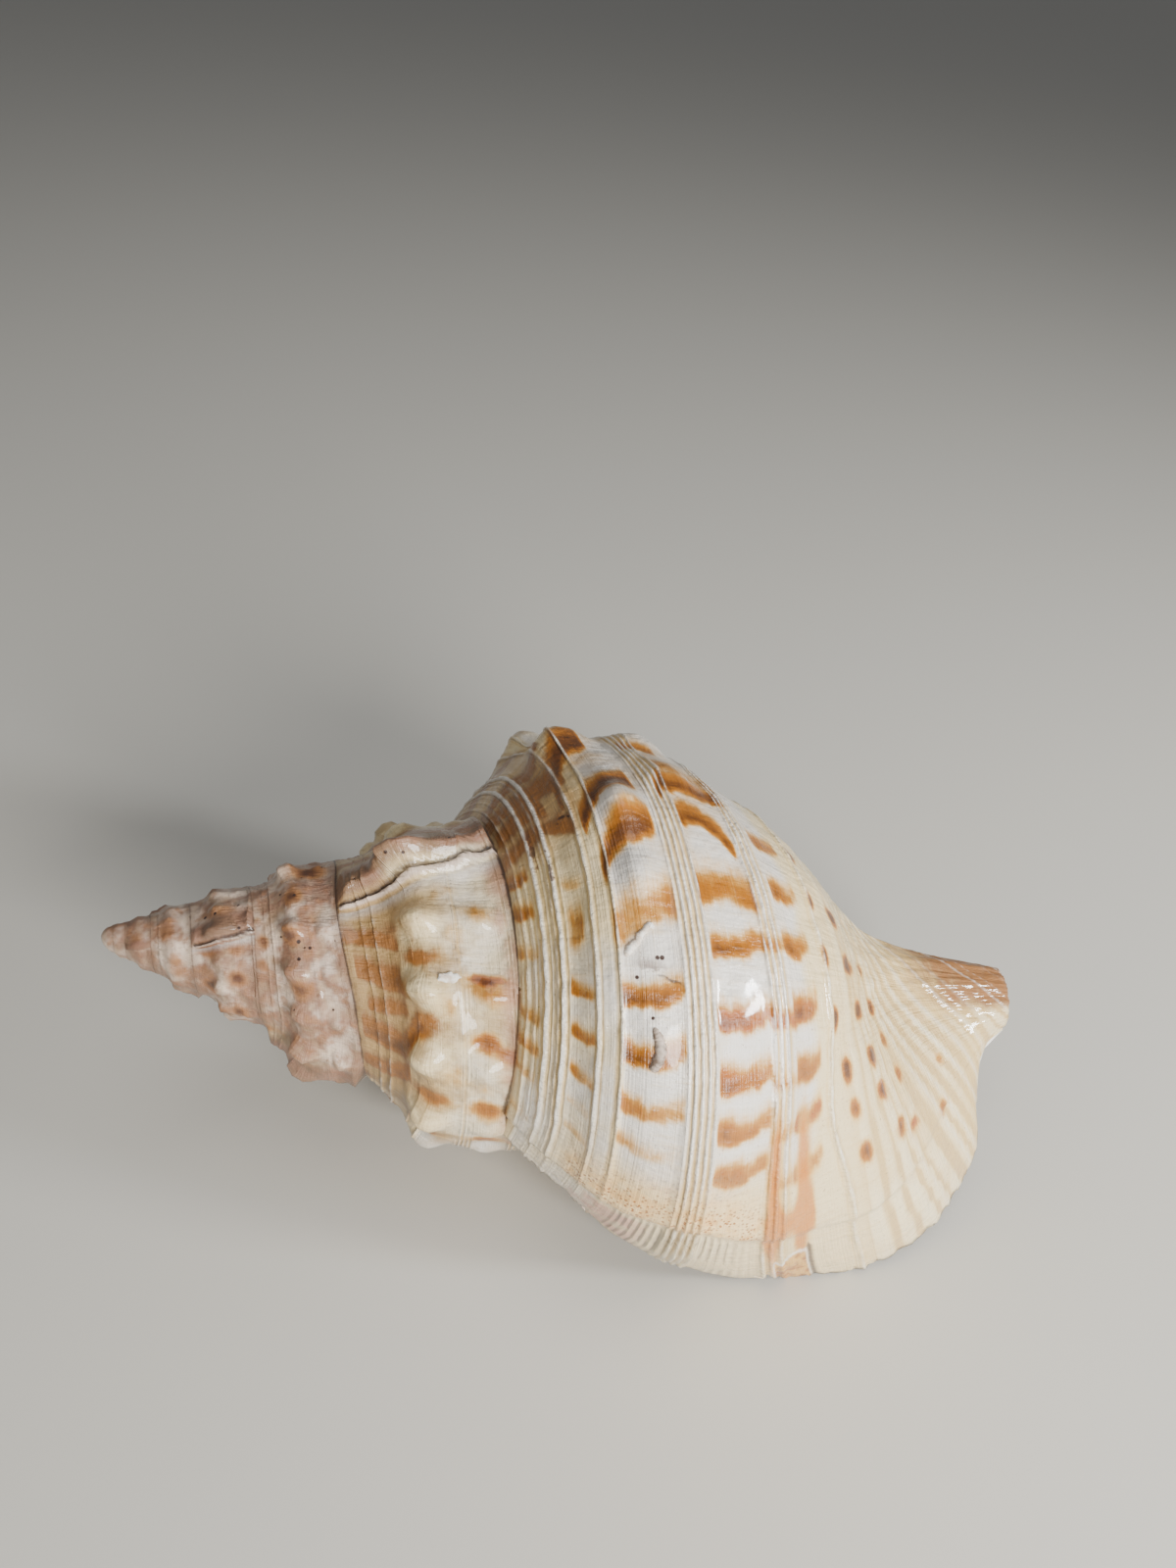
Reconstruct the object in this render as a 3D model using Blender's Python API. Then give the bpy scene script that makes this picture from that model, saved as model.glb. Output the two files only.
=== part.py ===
"""A triton shell: a sea snail's spiral shell lying on a table with its mouth down.

The shell grew as one piece, so it is one solid. Its wall is a strip wound round
an axis. A place on the strip has two numbers: the turn t, which is 0 at the
outer lip and falls towards the apex, and the band v, which runs across the
whorl from its upper suture (0) to its lower suture (1) and, on the last turn,
over the base to the end of the canal (2).
"""

import math

import bmesh
import bpy
import numpy as np

MM = 0.001

# How the tube grows, in millimetres and turns
REACH = 127.0  # along the axis, from where the spire's sides meet to the suture at the lip
GROWTH = 0.441  # natural logarithm of the growth in one turn
SUTURE_SLOPE = 0.41  # radius of the suture for each millimetre along the axis
TURNS = 6.7  # whorls left below the broken tip
TIP_DOME = 0.4  # how far the worn tip stands out

# The whorl's section: how far it bulges beyond the chord between its sutures
SPIRE_BULGE = (
    (0, 0), (0.12, -0.026), (0.25, -0.016), (0.38, 0.028), (0.5, 0.078),
    (0.62, 0.056), (0.75, 0.002), (0.88, -0.014), (1, 0),
)
BODY_BULGE = (
    (0, 0), (0.12, 0.10), (0.25, 0.185), (0.38, 0.255), (0.5, 0.262),
    (0.62, 0.235), (0.75, 0.185), (0.88, 0.10), (1, 0),
)
BODY_FROM = -1.3
BODY_OVER = 0.7
SUTURE_CLIMB = 0.078  # the last whorl climbs up the one before it
CLIMB_OVER = 0.275

SUTURE_DIP = 4.2  # the suture sags towards the apex just past the second varix
DIP_AT = -1.27
DIP_OVER = 0.13

# The base below the whorl, down to the canal
CANAL_END = 284.0
CANAL_SHIFT = (-6.0, 9.0)
CANAL_FROM = 190.0
BASE_RUN = ((0, 0), (0.2, 0.23), (0.4, 0.41), (0.6, 0.59), (0.8, 0.79), (1, 1))
BASE_RADIUS = ((0.2, 54.5), (0.4, 35.5), (0.6, 20.0), (0.8, 13.0), (1, 10.0))
BASE_SIZED_AT = -0.4

# The outer lip
LIP_ANGLE = 207.0  # round the axis from the far side, over the top
LIP_ALONG = (
    (0, 118), (0.3, 137), (0.5, 152.5), (0.7, 173.5), (0.9, 199.5), (1.1, 226.5), (1.3, 251.5),
    (1.5, 270), (1.7, 278.5), (1.9, 278), (1.95, 280), (2, 287),
)
LIP_RADIUS = (
    (0, 51), (0.3, 65.5), (0.5, 74.5), (0.7, 82.5), (0.9, 87.5), (1.1, 85.5), (1.3, 77),
    (1.5, 61), (1.7, 43), (1.9, 23), (2, 11),
)
LIP_LINE = (
    (0, -0.034), (0.3, -0.024), (0.5, -0.004), (0.8, 0.016), (1.2, 0.016), (1.6, 0.03),
    (1.8, 0.031), (1.9, 0.021), (2, 0),
)
FLARE_OVER = ((0, 0.16), (0.3, 0.2), (0.5, 0.2), (0.9, 0.14), (1.4, 0.24), (2, 0.24))
LIP_LINE_OVER = 0.25

# Varices: the old lips, left as ribs across the whorls
VARIX_FIRST = -0.684
VARIX_EVERY = 0.639
VARIX_COUNT = 9
VARIX_SLANT = 0.05  # how much further back it lies at the lower suture
VARIX_HEIGHT = 0.15  # of the whorl's width
VARIX_BACK = 0.055
VARIX_FRONT = 0.012

RELIEF_FROM_SUTURE = 0.08  # the ribs rise from nothing over this much of the band
RELIEF_ENDS = 1.9  # and are gone here, towards the canal's end
RELIEF_ENDS_OVER = 0.5
RELIEF_INSIDE = 0.25  # how much of the relief shows on the inner face

# Knobs on the shoulder and a lower row of small ones
KNOBS_TO_A_VARIX = 9
KNOB_SWELL = 0.25  # how far the foot of one knob runs into the next
KNOB_LINE = 0.46
KNOB_HEIGHT = 5.6
KNOB_ACROSS = 0.065
LOW_KNOB_LINE = 0.80
LOW_KNOB_HEIGHT = 3.2
BODY_KNOBS_LONGER = 0.06
BODY_KNOBS_FROM = -0.7
BODY_KNOBS_OVER = 0.2
KNOBS_FADE = (-0.36, -0.20)

# Strong cords: their line v and their height at the lip
CORD_ACROSS = 0.018
CORDS = (
    (0.10, 1.2), (0.185, 1.6), (0.32, 0.9), (0.40, 0.9), (0.66, 0.8), (0.74, 0.8),
    (0.975, 0.9), (1.055, 0.9), (1.17, 1.3),
)

# The hollow
DEPTH = 1.9
CANAL_DEPTH = 0.34
WALL = 3.0
EDGE_OVER = 0.05  # turns over which the wall thickens from the lip's edge
EDGE_WALL = 0.25  # place on that rise where the lip's edge starts
CANAL_WALL = 0.65  # thinner at the canal, as a share of the wall
CANAL_WALL_FROM = 1.5
CANAL_WALL_OVER = 0.4
HOLLOW_CANAL_FROM = 1.2  # the hollow is shorter from here on
HOLLOW_CANAL_OVER = 0.6
LINING_OVER = 0.12  # the inner face leaves the whorl before it over this much of the band
CORNER_BELOW = 0.08  # that corner lies this far below the suture
CORNER_OVER = 0.06
THROAT_GAP = 1.6
THROAT_GAP_OVER = 0.1
COLUMN_RADIUS = 4.5
COLUMN_OVER = 0.3  # share of the hollow's depth over which the whorl narrows to the column
COLUMN_CANAL_FROM = 1.35
COLUMN_CANAL_OVER = 0.4
COLUMN_CLOSES = 0.35  # beyond this share of its depth the canal closes
NEAR_THE_LIP = 1.3  # crowds the inner columns towards the lip

# How finely it is divided
COLUMNS = 56
INNER_COLUMNS = 44
ROWS = (
    0, 0.05, 0.10, 0.14, 0.185, 0.25, 0.32, 0.36, 0.40, 0.46, 0.52, 0.59, 0.66, 0.70, 0.74,
    0.80, 0.86, 0.92, 0.975, 1,
)
BASE_ROWS = (1.02, 1.055, 1.11, 1.17, 1.23, 1.30, 1.38, 1.47, 1.56, 1.65, 1.74, 1.83, 1.92, 2)
SPIRE_ROWS = (
    (0, 0.10, 0.185, 0.26, 0.34, 0.40, 0.46, 0.54, 0.64, 0.72, 0.80, 0.90, 1),
    (0, 0.12, 0.24, 0.36, 0.46, 0.56, 0.68, 0.84, 1),
    (0, 0.2, 0.36, 0.46, 0.6, 0.8, 1),
    (0, 0.25, 0.46, 0.7, 1),
    (0, 0.46, 1),
    (0, 0.46, 1),
)

INNER_ROWS = (0, 0.10, 0.22, 0.36, 0.5, 0.64, 0.78, 0.9, 1, 1.12, 1.27, 1.42, 1.6, 1.8, 2)

# How it lies, in degrees: its axis tipped and then rocked, so that it rests on its lip and spire
PITCH = 9.9
ROLL = -0.95

SHELL_COLOUR = (0.78, 0.66, 0.52, 1)
SHELL_ROUGHNESS = 0.45


def smooth(x):
    x = np.clip(x, 0, 1)
    return x * x * (3 - 2 * x)


def through(points, x):
    """A smooth curve through the points, level where they turn back."""
    at = np.array([p[0] for p in points], float)
    value = np.array([p[1] for p in points], float)
    return between(at, value, x)


def between(at, value, x):
    """Cubic pieces between the places at; value holds the heights on its last axis."""
    step = np.diff(at)
    slope = np.diff(value, axis=-1) / step
    ahead, behind = slope[..., 1:], slope[..., :-1]
    same = ahead * behind > 0
    tangent = np.zeros_like(value)
    tangent[..., 1:-1] = np.where(same, 2 * ahead * behind / np.where(same, ahead + behind, 1), 0)
    tangent[..., 0] = slope[..., 0]
    tangent[..., -1] = slope[..., -1]
    x = np.clip(x, at[0], at[-1])
    i = np.clip(np.searchsorted(at, x, side="right") - 1, 0, len(step) - 1)
    f = (x - at[i]) / step[i]
    if value.ndim == 1:
        low, high, low_tangent, high_tangent = value[i], value[i + 1], tangent[i], tangent[i + 1]
    else:
        low, high = pick(value, i), pick(value, i + 1)
        low_tangent, high_tangent = pick(tangent, i), pick(tangent, i + 1)
    return (
        (1 + 2 * f) * (1 - f) ** 2 * low
        + f * (1 - f) ** 2 * step[i] * low_tangent
        + f * f * (3 - 2 * f) * high
        + f * f * (f - 1) * step[i] * high_tangent
    )


def pick(values, i):
    return np.take_along_axis(values, i[..., None], -1)[..., 0]


def reach(t):
    dip = np.exp(-(((t - DIP_AT) / DIP_OVER) ** 2))
    return REACH * np.exp(GROWTH * t) - SUTURE_DIP * dip


def size(t):
    return np.exp(GROWTH * np.minimum(t, 0))


def section(t, v):
    """Distance along the axis and radius of the plain form, without the lip's flare."""
    t, v = np.broadcast_arrays(np.asarray(t, float), np.asarray(v, float))
    climb = SUTURE_CLIMB * np.clip((t + CLIMB_OVER) / CLIMB_OVER, 0, 2) ** 2
    top, top_radius = reach(t) * (1 - climb), SUTURE_SLOPE * reach(t)
    low, low_radius = reach(t + 1), SUTURE_SLOPE * reach(t + 1)
    across, out = low - top, low_radius - top_radius
    body = smooth((t - BODY_FROM) / BODY_OVER)
    on_whorl = np.clip(v, 0, 1)
    bulge = through(SPIRE_BULGE, on_whorl) * (1 - body) + through(BODY_BULGE, on_whorl) * body
    x = top + on_whorl * across - bulge * out
    r = top_radius + on_whorl * out + bulge * across
    w = np.clip(v - 1, 0, 1)
    base_x = low + (CANAL_END - low) * through(BASE_RUN, w)
    grown = reach(t) / reach(BASE_SIZED_AT)
    rows = [low_radius] + [radius * grown ** (1 - at) for at, radius in BASE_RADIUS]
    places = np.array([0] + [at for at, _ in BASE_RADIUS], float)
    base_r = between(places, np.stack(rows, -1), w)
    return np.where(v > 1, base_x, x), np.where(v > 1, base_r, r)


def outward(t, v):
    """Unit direction off the surface, in the plane through the axis."""
    step = 0.002
    x0, r0 = section(t, np.clip(v - step, 0, 2))
    x1, r1 = section(t, np.clip(v + step, 0, 2))
    length = np.hypot(x1 - x0, r1 - r0) + 1e-9
    return -(r1 - r0) / length, (x1 - x0) / length


def relief(t, v):
    """Height of the varices, knobs and cords over the plain form, in millimetres."""
    grown = size(t)
    near_ends = smooth(v / RELIEF_FROM_SUTURE) * smooth((RELIEF_ENDS - v) / RELIEF_ENDS_OVER)
    varix = np.zeros(np.broadcast(t, v).shape)
    for n in range(VARIX_COUNT):
        past = t - VARIX_FIRST + n * VARIX_EVERY + VARIX_SLANT * (np.minimum(v, 1) - 0.5)
        width = np.where(past < 0, VARIX_BACK, VARIX_FRONT)
        varix = varix + np.exp(-((past / width) ** 2))
    width_of_whorl = reach(t + 1) - reach(t)
    height = VARIX_HEIGHT * width_of_whorl * varix * near_ends
    knobs = 1 - smooth((t - KNOBS_FADE[0]) / (KNOBS_FADE[1] - KNOBS_FADE[0]))
    phase = np.cos(math.tau * (t - VARIX_FIRST) * KNOBS_TO_A_VARIX / VARIX_EVERY)
    round_knob = np.clip(KNOB_SWELL + (1 - KNOB_SWELL) * phase, 0, 1)
    on_body = smooth((t - BODY_KNOBS_FROM) / BODY_KNOBS_OVER)
    across = KNOB_ACROSS + BODY_KNOBS_LONGER * on_body
    for line, tall in ((KNOB_LINE, KNOB_HEIGHT), (LOW_KNOB_LINE, LOW_KNOB_HEIGHT)):
        height = height + tall * grown * knobs * round_knob * np.exp(-(((v - line) / across) ** 2))
    for line, tall in CORDS:
        height = height + tall * grown * np.exp(-(((v - line) / CORD_ACROSS) ** 2))
    return height


def in_space(t, x, r):
    """Turns a place on the section into a point, in millimetres."""
    angle = np.radians(LIP_ANGLE + 360 * t)
    shift = smooth((x - CANAL_FROM) / (CANAL_END - CANAL_FROM))
    y = r * np.cos(angle) + CANAL_SHIFT[0] * shift
    z = r * np.sin(angle) + CANAL_SHIFT[1] * shift
    return np.stack([x, y, z], -1)


def wall_section(t, v, inward=0.0):
    """Section of the outer wall with its flare and relief, or of its inner face."""
    x, r = section(t, v)
    along, out = outward(t, v)
    end = through(LIP_LINE, v)
    end_x, end_r = section(end, v)
    width = through(FLARE_OVER, v)
    flare = np.clip((t - end + width) / width, 0, 1) ** 2
    rise = relief(t, v) * np.where(inward == 0, 1, RELIEF_INSIDE) - inward
    x = x + (through(LIP_ALONG, v) - end_x) * flare + along * rise
    return x, r + (through(LIP_RADIUS, v) - end_r) * flare + out * rise


def lip_turn(t, v):
    """Moves the last columns so that the strip ends on the lip's own line."""
    return t + through(LIP_LINE, v) * smooth((t + LIP_LINE_OVER) / LIP_LINE_OVER)


def outer_wall(t, v):
    turned = lip_turn(t, v)
    return in_space(turned, *wall_section(turned, v))


def depth(v):
    """How far the hollow runs back from the lip, in turns."""
    return DEPTH + (CANAL_DEPTH - DEPTH) * smooth((v - HOLLOW_CANAL_FROM) / HOLLOW_CANAL_OVER)


def inner_wall(s, v):
    """Inner face of the outer wall, from the lip (s 0) to the back of the hollow (s 1)."""
    t = lip_turn(-depth(v) * s, v)
    canal = smooth((v - CANAL_WALL_FROM) / CANAL_WALL_OVER)
    thick = WALL * smooth(depth(v) * s / EDGE_OVER + EDGE_WALL) * (1 - (1 - CANAL_WALL) * canal)
    x, r = wall_section(t, v, thick)
    corner_x, corner_r = corner(s, t)
    near = smooth(v / LINING_OVER)
    return t, corner_x + (x - corner_x) * near, corner_r + (r - corner_r) * near


def corner(s, t):
    """Where the inner face meets the whorl before it."""
    return section(t - 1, 1 + CORNER_BELOW * smooth(s / CORNER_OVER))


def column(s, v):
    """The whorl before and the column inside the hollow, facing the inner wall."""
    t = lip_turn(-depth(v) * s, v)
    start = 1 + CORNER_BELOW * smooth(s / CORNER_OVER)
    shifted = start + (v - 1) * (2 - start)
    x, r = section(t - 1, shifted)
    _, _, wall_r = inner_wall(s, v)
    canal = smooth((v - COLUMN_CANAL_FROM) / COLUMN_CANAL_OVER)
    slim = COLUMN_RADIUS + (r - COLUMN_RADIUS) * (1 - smooth(s / COLUMN_OVER) * canal)
    closing = canal * smooth((s - COLUMN_CLOSES) / (1 - COLUMN_CLOSES))
    slim = slim + (wall_r - THROAT_GAP - slim) * closing
    return t, x, np.minimum(slim, wall_r - THROAT_GAP * smooth(s / THROAT_GAP_OVER))


def strip(faces, left, right):
    """Quads between two columns with the same number of corners."""
    for i in range(len(left) - 1):
        ring = [left[i], right[i], right[i + 1], left[i + 1]]
        faces.append(list(dict.fromkeys(ring)))


def zipper(faces, left, left_at, right, right_at):
    """Triangles between two columns with different numbers of corners."""
    i = j = 0
    while i < len(left) - 1 or j < len(right) - 1:
        take_left = j == len(right) - 1 or (i < len(left) - 1 and left_at[i + 1] <= right_at[j + 1])
        if take_left:
            faces.append([left[i], right[j], left[i + 1]])
            i += 1
        else:
            faces.append([left[i], right[j], right[j + 1]])
            j += 1


def whorl_of(i):
    """Which whorl column i lies on, counted from the lip; a whorl's first column is its own."""
    return max(math.ceil(-i / COLUMNS) - 1, 0)


def wall_columns(add):
    """Columns of corners from the lip (0) back to the apex, each as its bands and its corners."""
    columns = {}
    for i in range(0, -round(TURNS * COLUMNS) - 1, -1):
        if i >= -COLUMNS:
            rows = ROWS + BASE_ROWS
            corners = add(outer_wall(i / COLUMNS, np.array(rows)))
        else:
            rows = SPIRE_ROWS[min(whorl_of(i), len(SPIRE_ROWS)) - 1]
            corners = add(outer_wall(i / COLUMNS, np.array(rows[:-1])))
            corners.append(columns[i + COLUMNS][1][0])
        columns[i] = (rows, corners)
    # The last whorl ends at the lip's upper corner, which the column a turn back shares
    columns[-COLUMNS][1][ROWS.index(1)] = columns[0][1][0]
    return columns


def outer_faces(faces, columns, last):
    for i in range(0, last, -1):
        right_rows, right = columns[i]
        left_rows, left = columns[i - 1]
        if i == -COLUMNS:
            right_rows, right = ROWS, right[: len(ROWS)]
        if len(left) == len(right):
            strip(faces, left, right)
        else:
            zipper(faces, left, left_rows, right, right_rows)


def apex(faces, columns, last, add):
    """Closes the last turn of the spire with a low cap."""
    suture = [columns[i][1][0] for i in range(last, last + COLUMNS)]
    rim = list(dict.fromkeys(columns[last][1][::-1] + suture[1:]))
    centre = add([reach(last / COLUMNS) - TIP_DOME, 0, 0])[0]
    for i, corner_id in enumerate(rim):
        faces.append([corner_id, rim[(i + 1) % len(rim)], centre])


def hollow(faces, columns, add):
    """The inner face of the wall, the column that faces it, and the back of the hollow."""
    lip_rows, lip = columns[0]
    at_suture = lip_rows.index(1)
    rows = np.array(INNER_ROWS, float)
    base = rows[INNER_ROWS.index(1):]
    inner = [lip]
    pillar = [columns[-COLUMNS][1][at_suture:]]
    for k in range(1, INNER_COLUMNS + 1):
        s = (k / INNER_COLUMNS) ** NEAR_THE_LIP
        inner.append(add(in_space(*inner_wall(s, rows))))
        pillar.append([inner[-1][0]] + add(in_space(*column(s, base)))[1:])
    zipper(faces, inner[0], lip_rows, inner[1], rows)
    zipper(faces, pillar[1], base, pillar[0], lip_rows[at_suture:])
    for k in range(1, INNER_COLUMNS):
        strip(faces, inner[k], inner[k + 1])
        strip(faces, pillar[k + 1], pillar[k])
    zipper(faces, inner[-1], np.maximum(rows, 1), pillar[-1], base)
    return inner, pillar


def canal_end(faces, columns, inner, pillar):
    """The rim at the end of the canal, between its outer face and its lining."""
    outer_ring = [columns[i][1][-1] for i in range(0, -COLUMNS - 1, -1)]
    inner_ring = [ring[-1] for ring in inner + pillar[::-1]]
    outer_at = np.linspace(0, 1, len(outer_ring))
    inner_at = np.linspace(0, 1, len(inner_ring))
    zipper(faces, outer_ring, outer_at, inner_ring, inner_at)


def build():
    """Every corner of the shell in millimetres, and the faces between them."""
    points = []
    faces = []

    def add(many):
        first = len(points)
        points.extend(np.atleast_2d(many))
        return list(range(first, len(points)))

    last = -round(TURNS * COLUMNS)
    columns = wall_columns(add)
    outer_faces(faces, columns, last)
    apex(faces, columns, last, add)
    inner, pillar = hollow(faces, columns, add)
    canal_end(faces, columns, inner, pillar)
    return np.array(points, float), faces


def lay_down(points):
    """Turns the shell as it lies and puts the middle of its underside at the origin."""
    pitch, roll = np.radians((PITCH, ROLL))
    tilt = np.array(
        [[math.cos(pitch), 0, math.sin(pitch)], [0, 1, 0], [-math.sin(pitch), 0, math.cos(pitch)]]
    )
    rock = np.array([[1, 0, 0], [0, math.cos(roll), -math.sin(roll)], [0, math.sin(roll), math.cos(roll)]])
    points = points @ (rock @ tilt).T
    low, high = points.min(axis=0), points.max(axis=0)
    middle = (low + high) / 2
    return (points - [middle[0], middle[1], low[2]]) * MM


def make_shell():
    points, faces = build()
    mesh = bpy.data.meshes.new("triton_shell")
    body = bmesh.new()
    corners = [body.verts.new(point) for point in lay_down(points)]
    for face in faces:
        if len(set(face)) > 2:
            body.faces.new([corners[i] for i in face])
    loose = [v for v in body.verts if not v.link_faces]
    bmesh.ops.delete(body, geom=loose, context="VERTS")
    bmesh.ops.recalc_face_normals(body, faces=body.faces)
    bmesh.ops.triangulate(body, faces=body.faces)
    body.to_mesh(mesh)
    body.free()
    mesh.shade_smooth()
    shell = bpy.data.objects.new("triton_shell", mesh)
    bpy.context.scene.collection.objects.link(shell)
    return shell


def shell_material():
    material = bpy.data.materials.new("shell")
    material.use_nodes = True
    shader = material.node_tree.nodes["Principled BSDF"]
    shader.inputs["Base Color"].default_value = SHELL_COLOUR
    shader.inputs["Roughness"].default_value = SHELL_ROUGHNESS
    shader.inputs["Metallic"].default_value = 0
    return material


for old in list(bpy.data.objects):
    bpy.data.objects.remove(old, do_unlink=True)
make_shell().data.materials.append(shell_material())
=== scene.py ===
"""A triton shell lying mouth down on a pale floor: its fine surface, its markings and what grows on it.

A place on the shell has two numbers, as in its construction: the turn t, 0 at the outer lip
and falling towards the apex, and the band v, 0 at a whorl's upper suture, 1 at its lower
suture and, on the last whorl, 2 at the end of the canal. Lengths are in millimetres until
a mesh is made. A pair named FADE is the place where something starts or ends, and the length
over which it does.
"""

import math
from functools import cached_property
from types import SimpleNamespace

import bpy
import numpy as np
from mathutils import Matrix, Vector, noise


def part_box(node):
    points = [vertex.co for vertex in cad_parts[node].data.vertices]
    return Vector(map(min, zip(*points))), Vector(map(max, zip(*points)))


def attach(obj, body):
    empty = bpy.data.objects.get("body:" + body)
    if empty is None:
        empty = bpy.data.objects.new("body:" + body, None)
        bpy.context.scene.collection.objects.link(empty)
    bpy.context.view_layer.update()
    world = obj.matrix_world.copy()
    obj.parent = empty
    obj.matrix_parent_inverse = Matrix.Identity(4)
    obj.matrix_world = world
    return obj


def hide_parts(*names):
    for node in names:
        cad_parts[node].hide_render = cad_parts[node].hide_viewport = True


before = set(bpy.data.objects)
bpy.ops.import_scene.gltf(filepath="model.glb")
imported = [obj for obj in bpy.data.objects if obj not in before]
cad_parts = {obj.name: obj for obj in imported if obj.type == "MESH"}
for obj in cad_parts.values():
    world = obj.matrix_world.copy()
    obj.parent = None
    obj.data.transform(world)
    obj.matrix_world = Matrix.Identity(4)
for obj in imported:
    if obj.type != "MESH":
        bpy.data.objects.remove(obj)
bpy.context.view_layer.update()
low_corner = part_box("triton_shell")[0]

MM = 0.001

# ---- The plain form, as the solid has it ----

REACH = 127.0  # along the axis, from where the spire's sides meet to the suture at the lip
GROWTH = 0.441  # natural logarithm of the growth in one turn
SUTURE_SLOPE = 0.41  # radius of the suture for each millimetre along the axis
TURNS = 6.7  # whorls left below the broken tip
TIP_DOME = 2.4  # how far the worn tip stands out; the solid's is flatter
TIP_RINGS = (0.93, 0.78, 0.55, 0.28)  # of the tip's width
# The whorl's section: how far it bulges beyond the chord between its sutures
SPIRE_BULGE = (
    (0, 0), (0.12, -0.026), (0.25, -0.016), (0.38, 0.028), (0.5, 0.078),
    (0.62, 0.056), (0.75, 0.002), (0.88, -0.014), (1, 0),
)
BODY_BULGE = (
    (0, 0), (0.12, 0.10), (0.25, 0.185), (0.38, 0.255), (0.5, 0.262),
    (0.62, 0.235), (0.75, 0.185), (0.88, 0.10), (1, 0),
)
BODY_FADE = (-1.3, 0.7)
SUTURE_CLIMB = 0.078  # the last whorl climbs up the one before it
CLIMB_OVER = 0.275
SUTURE_DIP = 4.2  # the suture sags towards the apex just past the second rib
DIP_AT = -1.27
DIP_OVER = 0.13
# The base below the whorl, down to the canal
CANAL_END = 284.0
CANAL_SHIFT = (-6.0, 9.0)
CANAL_FROM = 190.0
BASE_RUN = ((0, 0), (0.2, 0.23), (0.4, 0.41), (0.6, 0.59), (0.8, 0.79), (1, 1))
BASE_RADIUS = ((0.2, 54.5), (0.4, 35.5), (0.6, 20.0), (0.8, 13.0), (1, 10.0))
BASE_SIZED_AT = -0.4
# The outer lip: its line in turns, and its place along the axis and radius by band
LIP_ANGLE = 207.0  # round the axis from the far side, over the top
LIP_ALONG = (
    (0, 118), (0.3, 137), (0.5, 152.5), (0.7, 173.5), (0.9, 199.5), (1.1, 226.5), (1.3, 251.5),
    (1.5, 270), (1.7, 278.5), (1.9, 278), (1.95, 280), (2, 287),
)
LIP_RADIUS = (
    (0, 51), (0.3, 65.5), (0.5, 74.5), (0.7, 82.5), (0.9, 87.5), (1.1, 85.5), (1.3, 77),
    (1.5, 61), (1.7, 43), (1.9, 23), (2, 11),
)
LIP_LINE = (
    (0, -0.034), (0.3, -0.024), (0.5, -0.004), (0.8, 0.016), (1.2, 0.016), (1.6, 0.03),
    (1.8, 0.031), (1.9, 0.021), (2, 0),
)
FLARE_OVER = ((0, 0.16), (0.3, 0.2), (0.5, 0.2), (0.9, 0.14), (1.4, 0.24), (2, 0.24))
LIP_LINE_OVER = 0.25
# The hollow behind the mouth
DEPTH = 1.9  # turns
CANAL_DEPTH = 0.34
WALL = 3.0
EDGE_OVER = 0.05
EDGE_WALL = 0.25
CANAL_WALL = 0.65
CANAL_WALL_FADE = (1.5, 0.4)
HOLLOW_CANAL_FADE = (1.2, 0.6)
LINING_OVER = 0.12
LINING_RELIEF = 0.2  # how much of the outside's relief shows on the lining
CORNER_BELOW = 0.08
CORNER_OVER = 0.06
THROAT_GAP = 1.6
THROAT_GAP_OVER = 0.1
COLUMN_RADIUS = 4.5
COLUMN_OVER = 0.3
COLUMN_CANAL_FADE = (1.35, 0.4)
COLUMN_CLOSES = 0.35
NEAR_THE_LIP = 1.3  # columns of the lining stand closer together near the lip
PITCH = 9.9  # how the axis lies, in degrees
ROLL = -0.95
AXIS_START = (-6.134, 85.006, 80.892)  # where the spire's sides would meet, from the box's low corner

# ---- Ribs, knobs and cords ----

VARIX_FIRST = -0.684
VARIX_EVERY = 0.639
VARIX_COUNT = 9
VARIX_SLANT = 0.05  # how much further back it lies at the lower suture
VARIX_HEIGHT = 0.15  # of the whorl's width
VARIX_BACK = 0.055
VARIX_FRONT = 0.012
CRACK_PAST = 0.0135  # the crack at a rib's foot, in turns past its crest
CRACK_HALF = 0.0022
CRACK_DEEP = 1.6
SECOND_CRACK_PAST = 0.0255
THIN_RIDGE_PAST = 0.0185
THIN_RIDGE_HALF = 0.0034
THIN_RIDGE_TALL = 3.0
RIBS_WITH_CRACKS = range(1, 6)
SUTURE_FADE = (0, 0.06)
CANAL_FADE = (1.9, 0.5)
KNOBS_TO_A_VARIX = 9
KNOB_SHARPNESS = 2.2
KNOB_LINE = 0.46
KNOB_HEIGHT = 6.8
LOW_KNOB_LINE = 0.80
LOW_KNOB_HEIGHT = 5.0
KNOB_ACROSS = 0.105
KNOB_GROWTH = 0.8  # knobs shrink a little less than the whorls do
KNOB_UNEVEN = 0.35
KNOB_OFF_LINE = 0.02
KNOBS_START = (-5.6, 3.3)  # from the apex they grow up over the second length
KNOBS_START_CURVE = 1.5
LOST_KNOB = -23  # worn away, counting from the first rib
WORN_KNOB = -4  # worn to half its height
KNOBS_END_FADE = (-0.40, 0.10)
# Single knobs on the last whorl: turn, band, height, reach along the turn and across the band
BODY_KNOBS = (
    (-0.306, 0.515, 7.0, 0.018, 0.085),
    (-0.262, 0.53, 3.6, 0.014, 0.08),
    (-0.385, 0.40, 4.0, 0.018, 0.09),
    (-0.345, 0.80, 2.2, 0.020, 0.08),
)
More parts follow.
